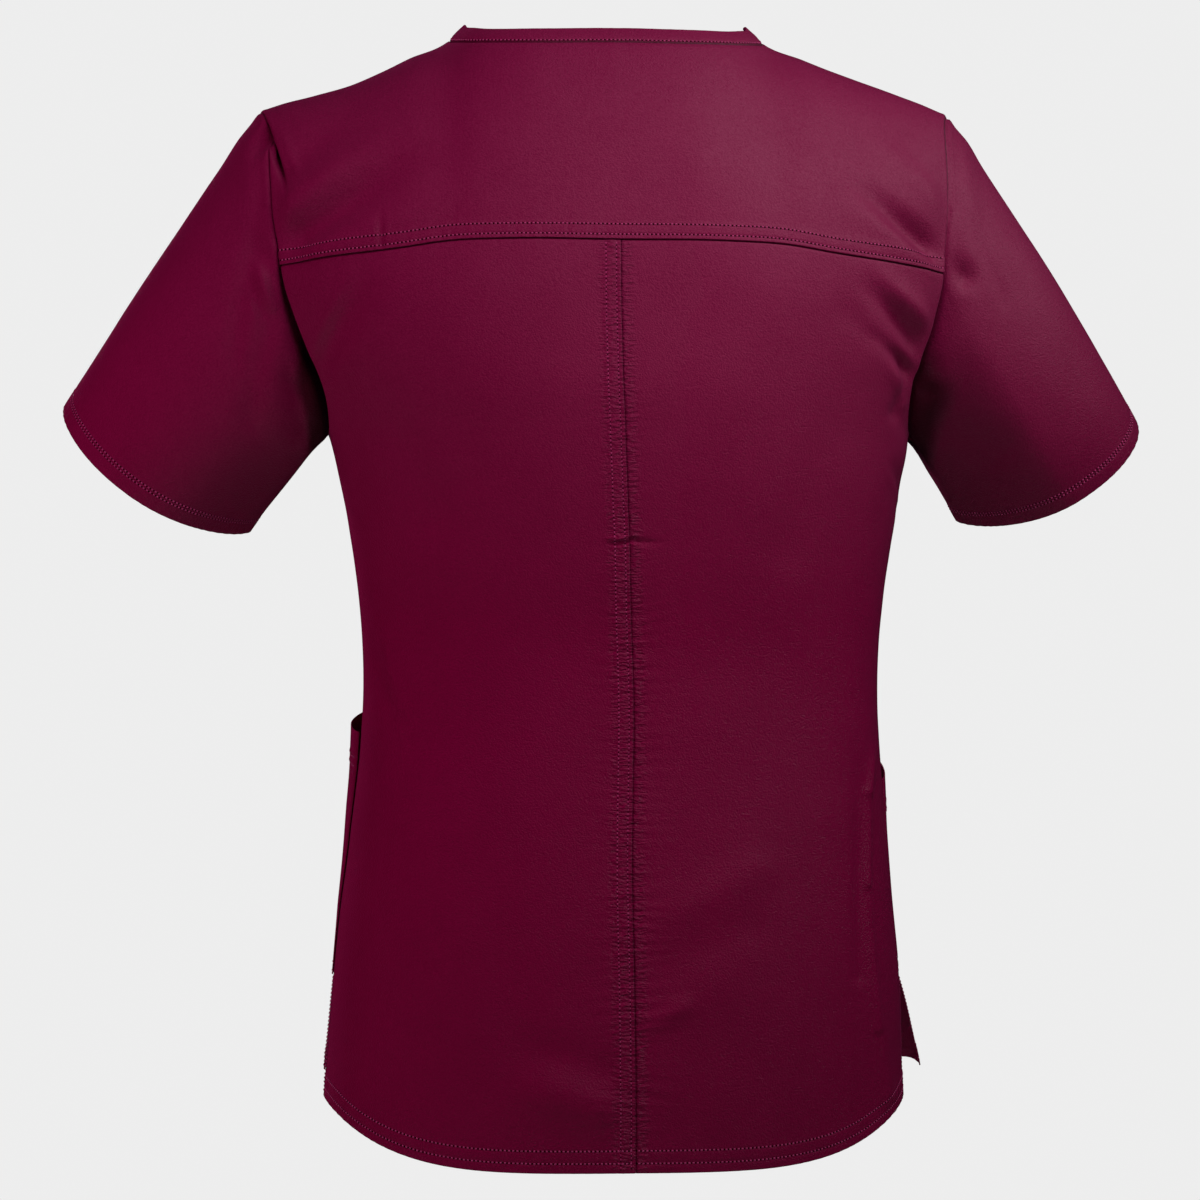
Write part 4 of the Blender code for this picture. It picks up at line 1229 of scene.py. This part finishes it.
pocketLook = {
    "wide": 150.0,
    "tall": 200.0,
    "step": 2.4,
    "fine": (0, 0.5, 1.2, 2.2, 3.2, 4.6, 6.4, 8, 9.4),
    "innerColumn": 4,
    "gape": {"left": 13, "right": 10},
    "gapePowers": (0.55, 1.4),  # round at the mouth, and closing downwards
    "fullness": 3,
    "gap": 0.4,
    "hem": 24,  # the mouth's turned hem
    "rows": (2.2, 8.2),
    "groove": (0.3, 0.8),
    "hemGrooves": ((0.35, 0), (0.3, -6)),  # how deep, and how far past the hem's line
    "hemGrooveWidth": 0.9,
    "hemLap": 0.3,
    "hemPuckers": (8, 0.12, 10, 130),
    "sidePuckers": (8, 0.14, 9, 140),
    "flat": (0.17, 0.24),
    "area": 0.036,
}


def buildPocket(side):
    # A pocket: the front's own grid again, draped alike and lifted by a little gap, by its fullness, which
    # is a sine across times a sine down, and by the mouth's gape, which is a power of the sine across times
    # a power of what is left of the way down.
    left, inner, (_, mouth, vent, _) = side == "left", pocketLook["innerColumn"], panelRows[-1]
    sizes, step, fine = (pocketLook["wide"], pocketLook["tall"]), pocketLook["step"], pocketLook["fine"]
    acrossShare, downShare = (graded(size, step, fine) / size for size in sizes)
    columns, rows = inner + acrossShare * (halfColumns - inner), mouth + downShare * (vent - mouth)
    grids = halfPanel(side, -1, columns, rows)
    base, uv = (grid[:, ::-1] for grid in grids) if left else grids
    normals = gridNormals(base)
    base = base + normals * (swells(base) - creased(base))[..., None]
    u, v = (acrossShare[::-1] if left else acrossShare)[None, :], downShare[:, None]
    rounded, closing = pocketLook["gapePowers"]
    gape = pocketLook["gape"][side] * np.maximum(np.sin(math.pi * u), 0) ** rounded * (1 - v) ** closing
    full = pocketLook["fullness"] * np.sin(math.pi * u) * np.sin(math.pi * v)
    lift = pocketLook["gap"] + drape["wall"] + gape + full
    across, fromTop = runAcross(base, 1), runAcross(base, 0)
    fromBottom, fromInner = fromTop[-1:] - fromTop, across[:, -1:] - across if left else across
    hem, (groove, width) = pocketLook["hem"], pocketLook["groove"]
    relief = pocketLook["hemLap"] * (1 - ease(hem - 1, hem + 2, fromTop))
    for row in pocketLook["rows"]:
        relief -= groove * bump(np.minimum(fromInner, fromBottom), row, width)
    for depth, past in pocketLook["hemGrooves"]:
        relief -= depth * bump(fromTop, hem + past, pocketLook["hemGrooveWidth"])
    relief += puckers(across, fromTop - hem, pocketLook["hemPuckers"])
    relief += puckers(fromTop, fromInner, pocketLook["sidePuckers"])
    outer = base + normals * (lift + relief)[..., None]
    addCloth("pocket_" + side, outer, uv, pocketLook)
    rowsSewn = []
    for offset in pocketLook["rows"]:
        inHem = hem - (offset - pocketLook["rows"][0])
        rowsSewn += rowsBeside(outer, fromInner, "last" if left else "first", [offset], slice(1, -1))
        rowsSewn += rowsBeside(outer, fromBottom, "bottom", [offset], slice(1, -1))
        rowsSewn += rowsBeside(outer, fromTop, "top", [inHem], slice(1, -1))
    sewn("pocket_%s_stitches" % side, rowsSewn)


buildFront()
for side in sides:
    buildPocket(side)
print("front and pockets")

ringStart = 100  # a ring's coordinates start here, clear of the line that the puckers are drawn to
sleeveLook = {
    "around": 200,
    "long": 260.0,
    "down": 2.7,
    "fine": (0, 0.5, 1.2, 2.4, 4, 6, 8, 9.4, 10.2, 10.8, 11.4, 12, 12.6, 13.2, 13.8, 15),
    "hem": dict(hemForm, width=13.6, rows=(10.8, 13.2)),
    "roll": (0.5, 5, 4),  # beside the seam: how high, how far down and how wide
    "cap": (24, 15),
    "capFrom": 0.3,  # it stands up from this share of the way to the tip
    "follows": 0.6,  # how much of the trunk's own folds it has
    "join": 24,  # as far down as this it moves with the trunk
    "sink": 1.9,  # how far its upper edge lies under the trunk's
    "sinkFade": (0.4, 3.2),
    "sinkLess": (0.75, 0.55),  # at the shoulder's tip, and from which share of the way to it
    "tuck": (4, 0.4),  # how far in its last line goes, and how much deeper than the edge
    "pitFrom": (0.40, 0.72),
    "pitTo": (0.93, 1),
    "underOver": 0.34,
    "frontUnder": (0.6, 0.95),
    "underDown": (2, 40),
    # how dark the armpit's painted shade is, and the heights between which it comes in
    "paintedShade": 1.2,
    "shadeDown": (190, 250),
    "cuffPuckers": (7, 0.2, 10, 150),
    "seamPuckers": (11, 0.22, 14, 160),
    "threadSunk": 0.14,
    "flat": (0.50, 0.30),
    "area": 0.092,
}
# A sleeve: where the cuff is and its shape, which way the cloth leaves the tip and the pit, how far the cap
# stands up, how far the cloth turns under towards the pit, and how far the armpit's painted shade reaches.
# Creases are laid by how far round they are from the tip over the back (1 is the pit), and how far down.
creaseNames = "turn0 down0 turn1 down1 width depth"
sleeves = {
    "left": {
        "cuff": (307.5, -42, -293), "rise": 34.5, "long": 77.5, "deep": 59,
        "runOn": 27, "pinch": (1.15, 1.5),
        "tipWay": (0.57, -0.10, -0.81), "pitWay": (0.60, -0.10, -0.79),
        "cap": 1.2, "under": 12, "from": 0.60, "pit": 15.0, "pitReach": 12, "wedge": 24, "wedgeSoft": 9,
        "creases": table(
            creaseNames,
            (0.30, 0.05, 0.52, 0.32, 0.05, 1.8),
            (0.55, 0.10, 0.66, 0.42, 0.05, 2.2),
            (-0.40, 0.10, -0.55, 0.50, 0.06, 2.5),
            (-0.75, 0.08, -0.70, 0.60, 0.06, 2.4),
        ),
    },
    "right": {
        "cuff": (-315, -46, -290), "rise": 33, "long": 71, "deep": 60,
        "runOn": 31, "pinch": (0.85, 1.5),
        "tipWay": (-0.56, -0.10, -0.82), "pitWay": (-0.72, -0.10, -0.68),
        "cap": 2.0, "under": 25, "from": 0.53, "pit": 22.0, "pitReach": 14, "wedge": 44, "wedgeSoft": 26,
        "creases": table(
            creaseNames,
            (0.84, 0.14, 0.66, 0.62, 0.06, 1.8),
            (0.28, 0.06, 0.36, 0.30, 0.04, 1.2),
            (-0.42, 0.10, -0.52, 0.50, 0.06, 2.4),
            (-0.78, 0.08, -0.70, 0.55, 0.06, 2.2),
        ),
        # a fold that lies along the seam from the tip
        "tipFold": {"until": 0.36, "deep": 1.5, "at": (1.2, 3.6), "power": 0.8, "width": 1.0},
    },
}


def armholeRing(side, count):
    # The armhole's points, evenly spaced, from the yoke's front seam over the tip, down the back to the
    # underarm and up the front, with the trunk's normals there and the ways in to the hole's middle.
    over, back = overShoulder(side, closeSteps), armholeLine(side, 1, closeSteps)
    angles, turns = np.concatenate([over, back[1:], armholeLine(side, -1, closeSteps[::-1])[1:]]).T
    ring, small = trunkAt(angles, turns), 1e-3
    across = trunkAt(angles + small, turns) - trunkAt(angles - small, turns)
    down = trunkAt(angles, turns + small) - trunkAt(angles, turns - small)
    out = pointing(unit(np.cross(across, down)), ring - inside)
    length = lengthAlong(ring)
    at = np.linspace(0, length[-1], count + 1)[:-1]
    ring, out = readAt(at, length, ring), unit(readAt(at, length, out))
    inward = unit(np.cross(out, np.roll(ring, -1, axis=0) - np.roll(ring, 1, axis=0)))
    return ring, out, pointing(inward, ring - ring.mean(0)), length[-1]


def cuffAxes(side):
    # The cuff's long way, and the sleeve's own way down to it.
    rise = math.radians(sleeves[side]["rise"])
    cos, sin = math.cos(rise), math.sin(rise)
    return np.array([sides[side] * cos, 0, sin]), np.array([sides[side] * sin, 0, -cos])


def cuffRing(side, turns):
    # An oval whose upper and lower ends are pinched, with its back edge running on along the sleeve.
    cuff = sleeves[side]
    longWay, along = cuffAxes(side)
    back = np.array([0, math.sqrt(cuff["deep"] ** 2 - cuff["runOn"] ** 2), 0]) + cuff["runOn"] * along
    cos, sin = np.cos(turns)[:, None], np.sin(turns)[:, None]
    sin = np.sign(sin) * np.abs(sin) ** np.where(cos > 0, *cuff["pinch"])
    return np.array(cuff["cuff"]) + cos * cuff["long"] * longWay + sin * back


def sleeveGrid(side):
    # Each column is a cubic from a point of the armhole to one of the cuff. It leaves by the tip's way or
    # the pit's, mixed by how near the tip it is, and arrives square to the cuff.
    form = sleeves[side]
    start, trunkOut, trunkInward, girth = armholeRing(side, sleeveLook["around"])
    at = np.arange(len(start)) / len(start) * girth
    tip, pit = at[np.argmax(start[:, 2])], at[np.argmin(start[:, 2])]
    gone, back = at - tip, pit - tip
    front = girth - back
    turns = np.where(gone < 0, gone / front, gone / back)
    turns = math.pi * np.where(gone > back, 1 + (gone - back) / front, turns)
    end = cuffRing(side, turns)
    reach = np.linalg.norm(end - start, axis=1)[:, None]
    towardTip = (1 + np.cos(turns))[:, None] / 2
    leave = (towardTip * form["tipWay"] + (1 - towardTip) * form["pitWay"]) * reach
    forward = -form["runOn"] / form["deep"]
    arrive = (math.sqrt(1 - forward**2) * cuffAxes(side)[1] + [0, forward, 0]) * reach
    t = graded(sleeveLook["long"], sleeveLook["down"], sleeveLook["fine"]) / sleeveLook["long"]
    grid = cubic(t[:, None, None], start, end, leave, arrive)
    if side == "left":
        return grid[:, ::-1], t, turns[::-1], start[::-1], trunkOut[::-1], trunkInward[::-1]
    return grid, t, turns, start, trunkOut, trunkInward


def buildSleeve(side):
    # A sleeve: its grid moved out by the swells less the folds and its own creases, the cap's roll, the
    # cuff's relief and the puckers. At the armhole it follows the trunk, and sinks under it. Towards the
    # pit it turns forward under the arm, and beside the seam there it is painted with shade.
    grid, t, turns, start, trunkOut, trunkInward = sleeveGrid(side)
    look, form = sleeveLook, sleeves[side]
    below, around = runAcross(grid, 0), runAround(grid)
    fromCuff, tipShare = below[-1:] - below, (1 + np.cos(turns)) / 2
    half = turns / math.pi
    half = np.where(half > 1, half - 2, half)[None, :]
    relief = swells(grid) - creased(grid, look["follows"])
    places = np.stack(np.broadcast_arrays(half, t[:, None]), axis=-1)
    for turn0, down0, turn1, down1, width, deep in zip(*form["creases"].values()):
        relief -= deep * bump(besideLine(places, (turn0, down0), (turn1, down1))[1], 0, width)
    high, middle, width = look["roll"]
    cap = form["cap"] * bump(below, *look["cap"]) * ease(look["capFrom"], 1, tipShare)
    cap = cap + high * bump(below, middle, width)
    if "tipFold" in form:
        fold = form["tipFold"]
        at, swing = fold["at"]
        at = at + swing * np.sin(math.pi * np.clip(half / fold["until"], 0, 1)) ** fold["power"]
        # rounded, because one column lies right where it ends
        within = (half > 0) & (np.round(half, 9) < fold["until"])
        cap = cap - fold["deep"] * bump(below, at, fold["width"]) * within
    join = 1 - ease(1, look["join"], below)
    relief = relief * (1 - join) + cap * ease(0, 3, below) + stitched(fromCuff, look["hem"])
    relief += puckers(around, fromCuff, look["cuffPuckers"], sides[side])
    relief += puckers(around, below, look["seamPuckers"], sides[side]) * ease(0, 3, below)
    less, tipFrom = look["sinkLess"]
    sunk = look["sink"] * (1 - ease(*look["sinkFade"], below)) * (1 - less * ease(tipFrom, 1, tipShare))
    moved = (swells(start) - creased(start, heldBy(0)))[:, None] * trunkOut
    outer = pushed(grid, relief, closed=True) + moved * join[..., None] - trunkOut * sunk[..., None]
    pit = (form["pit"] * ease(*look["pitFrom"], half) * (1 - ease(*look["pitTo"], half)))[0]
    under = ease(form["from"], form["from"] + look["underOver"], half)
    under = np.where(half > 0, under, ease(*look["frontUnder"], -half)) * ease(*look["underDown"], below)
    outer[..., 1] -= pit * np.exp(-below / form["pitReach"]) + form["under"] * under
    inwards, deeper = look["tuck"]
    tucked = start + moved + trunkInward * (inwards + pit[:, None]) - trunkOut * (look["sink"] + deeper)
    tucked[:, 1] -= pit
    # painted shade: dark beside the armhole's seam low in the armpit, carried to the material as the pit
    # attribute
    wedge = form["wedge"] * ease(*look["shadeDown"], -grid[..., 2])
    paintedShade = look["paintedShade"] * ease(0, form["wedgeSoft"], wedge - below)
    uv = np.stack([around + ringStart, -below, paintedShade], axis=-1)
    padded, flat = np.concatenate([tucked[None], outer]), np.concatenate([uv[:1] + [0, inwards, 0], uv])
    addCloth("sleeve_" + side, padded, flat, look, closed=True)
    offsets, sunk = look["hem"]["rows"], look["threadSunk"]
    sewn("sleeve_%s_stitches" % side, rowsBeside(outer, fromCuff, "bottom", offsets, sunk=sunk, closed=True))


for side in sides:
    buildSleeve(side)
print("sleeves")

bandLook = {
    "wall": 1.1,
    # heights above the seam, the last two below it, where the band goes in under the panels
    "levels": (15.0, 14.7, 14, 12.5, 10, 7.5, 5, 3.2, 2.4, 2.0, 1.6, 1.0, 0.4, 0, -1, -3.5),
    "under": 0.45,  # how steeply
    "tilt": table("way tilt", (0, -12), (0.3, -6), (0.42, 8), (0.6, 3), (1, 0)),
    "step": 2.0,
    "steps": 150,  # for each half of its line, before it is spaced evenly
    "mitreFrom": 70,
    "smooth": (4, 9),
    "edgeRows": (2.0,),
    "groove": (0.35, 0.8),  # under the stitching: how deep and how wide
    "round": (0.5, 7, 6),  # how high, how far up and how wide
    "seamDip": (0.9, 0.9),
    "steepest": 0.99,  # the sine of the V's half angle stays below this
    "puckers": (9, 0.14, 12, 200),
    "flat": (0.84, 0.019),
}


def smoothed(values, reach):
    # A running mean along a line, its ends held.
    first, last = (np.repeat(end, reach, axis=0) for end in (values[:1], values[-1:]))
    padded = np.concatenate([first, values, last])
    total = np.cumsum(np.concatenate([0 * padded[:1], padded]), axis=0)
    return (total[2 * reach + 1 :] - total[: -2 * reach - 1]) / (2 * reach + 1)


def bandStrip(side):
    # A half of the strip that stands on the neckline. Towards the point of the V its columns slide back
    # along the neckline, by the height over the tangent of half the V's angle, so that the two ends meet in
    # a mitre.
    columns, two = np.linspace(neckColumns, 0, bandLook["steps"]), np.array([0.0, 1.0])
    yoke, front = yokePanel(sides[side] * columns, two)[0], halfPanel(side, -1, columns, two)[0]
    line, under = (np.concatenate([yoke[row][::-1], front[row][1:]]) for row in (0, 1))
    length = lengthAlong(line)
    even = np.linspace(0, length[-1], round(length[-1] / bandLook["step"]) + 1)
    path, (alongReach, acrossReach) = readAt(even, length, line), bandLook["smooth"]
    along = unit(smoothed(np.gradient(path, axis=0), alongReach))
    across = smoothed(unit(path - readAt(even, length, under)), acrossReach)
    across = unit(across - (across * along).sum(1, keepdims=True) * along)
    out = pointing(unit(np.cross(along, across)), path - inside)
    moved = (swells(path) - creased(path))[:, None] * out
    tilt = np.radians(smoothAt(bandLook["tilt"], "way", "tilt", even / length[-1]))[:, None]
    stand = across * np.cos(tilt) + out * np.sin(tilt)
    halfAngle = math.asin(min(abs(along[-1][0]), bandLook["steepest"]))
    slide = ease(length[-1] - bandLook["mitreFrom"], length[-1], even) / math.tan(halfAngle)
    rows = []
    for level in bandLook["levels"]:
        base = readAt(even - slide * level, even, path + moved)
        lean = unit(readAt(even - slide * level, even, stand))
        rows.append(base + lean * level + out * min(level, 0) * bandLook["under"])
    return np.array(rows)


def buildBand():
    # The neckband: both strips in one ring, rounded a little, with a groove under its row of stitching.
    left, right = (bandStrip(side) for side in sides)
    grid = np.concatenate([left[:, ::-1], right[:, 1:-1]], axis=1)[:, ::-1]
    below, around = runAcross(grid, 0), runAround(grid)
    fromSeam = below[-3:-2] - below
    high, middle, width = bandLook["round"]
    relief = high * bump(fromSeam, middle, width) + puckers(around, fromSeam, bandLook["puckers"])
    deep, reach = bandLook["seamDip"]
    relief -= deep * np.exp(-np.maximum(fromSeam, 0) / reach)
    deep, width = bandLook["groove"]
    relief -= deep * bump(fromSeam, bandLook["edgeRows"][0], width)
    outer = pushed(grid, relief, closed=True)
    addCloth("neckband", outer, np.stack([around + ringStart, -fromSeam], axis=-1), bandLook, closed=True)
    sewn("neckband_stitches", rowsBeside(outer, fromSeam, "bottom", bandLook["edgeRows"], closed=True))


buildBand()
print("neckband")

stage = {
    "paper": (0.85, 0.85, 0.85, 1),
    "floorHeight": -1090,
    "floorRadius": 1050,
    "ambient": 0.012,
    "lights": {  # only some are seen as a shine on the cloth
        "key": {"place": (-520, 560, 480), "size": 420, "power": 4.0, "shine": True},
        "high": {"place": (-150, 750, 700), "size": 500, "power": 7.2},
        "left": {"place": (1150, 470, -250), "size": 400, "power": 7.6, "colour": (1, 0.65, 0.85)},
        "near": {"place": (-840, 240, 240), "size": 260, "power": 2.1, "shine": True},
        "middle": {"place": (-150, 560, -170), "size": 300, "power": 1.1},
        "side": {"place": (-1150, 40, -560), "size": 300, "power": 1.2},
        "front": {"place": (1100, -1900, 350), "size": 700, "power": 60},
    },
    "aim": (0, 0, -330),
}
view = {"turn": 4, "distance": 3200, "height": -385, "sidestep": 2.76, "frameWidth": 828}


def putInScene(made, place, toward):
    made.location = place * metres
    made.rotation_euler = Vector(toward).to_track_quat("-Z", "Y").to_euler()
    bpy.context.scene.collection.objects.link(made)


def softLight(name, place, size, power, shine=False, colour=(1, 1, 1)):
    light = bpy.data.lights.new(name, "AREA")
    light.shape, light.size, light.energy, light.color = "DISK", size * metres, power, colour
    lamp = bpy.data.objects.new(name, light)
    putInScene(lamp, np.array(place), np.subtract(stage["aim"], place))
    lamp.visible_glossy = shine


def makeFloor():
    around = np.linspace(0, 2 * math.pi, 97)[:-1]
    ring = np.stack([np.cos(around), np.sin(around), 0 * around], axis=-1) * stage["floorRadius"]
    points = np.concatenate([[[0, 0, 0]], ring]) + [0, 0, stage["floorHeight"]]
    k = np.arange(len(around))
    faces = np.stack([0 * k, 1 + k, 1 + (k + 1) % len(k)], axis=-1)
    mesh = bpy.data.meshes.new("floor")
    mesh.from_pydata((points * metres).tolist(), [], faces.tolist())
    mesh.materials.append(newMaterial("pale_floor", {"Base Color": stage["paper"], "Roughness": 0.9})[0])
    floor = bpy.data.objects.new("floor", mesh)
    bpy.context.scene.collection.objects.link(floor)
    floor.visible_glossy = False


def makeWorld():
    # The camera sees the paper's colour, and the cloth gets a faint even light without a shine.
    world = bpy.data.worlds.new("studio")
    bpy.context.scene.world = world
    world.use_nodes = True
    tree = world.node_tree
    seen = tree.nodes["Background"]
    seen.inputs["Color"].default_value = stage["paper"]
    path = addNode(tree, "ShaderNodeLightPath").outputs
    toCamera = path["Is Camera Ray"]
    dull = mathNode(tree, "SUBTRACT", 1, path["Is Glossy Ray"])
    strength = mathNode(tree, "MULTIPLY", dull, stage["ambient"])
    lit = addNode(tree, "ShaderNodeBackground", {"Color": (1, 1, 1, 1), "Strength": strength})
    mix = addNode(tree, "ShaderNodeMixShader", {0: toCamera, 1: lit.outputs[0], 2: seen.outputs[0]})
    setInputs(tree, tree.nodes["World Output"], {0: mix.outputs[0]})


def makeCamera():
    lens = bpy.data.cameras.new("camera")
    lens.sensor_width = 36
    lens.lens = lens.sensor_width * view["distance"] / view["frameWidth"]
    camera = bpy.data.objects.new("camera", lens)
    turn = math.radians(view["turn"])
    toward = np.array([math.sin(turn), math.cos(turn), 0])
    aside = np.array([math.cos(turn), -math.sin(turn), 0])
    place = toward * view["distance"] + aside * view["sidestep"] + [0, 0, view["height"]]
    putInScene(camera, place, -toward)
    bpy.context.scene.camera = camera


makeFloor()
makeWorld()
for name, light in stage["lights"].items():
    softLight(name, **light)
makeCamera()
bpy.context.scene.view_settings.view_transform = "Standard"
print("stage and camera")
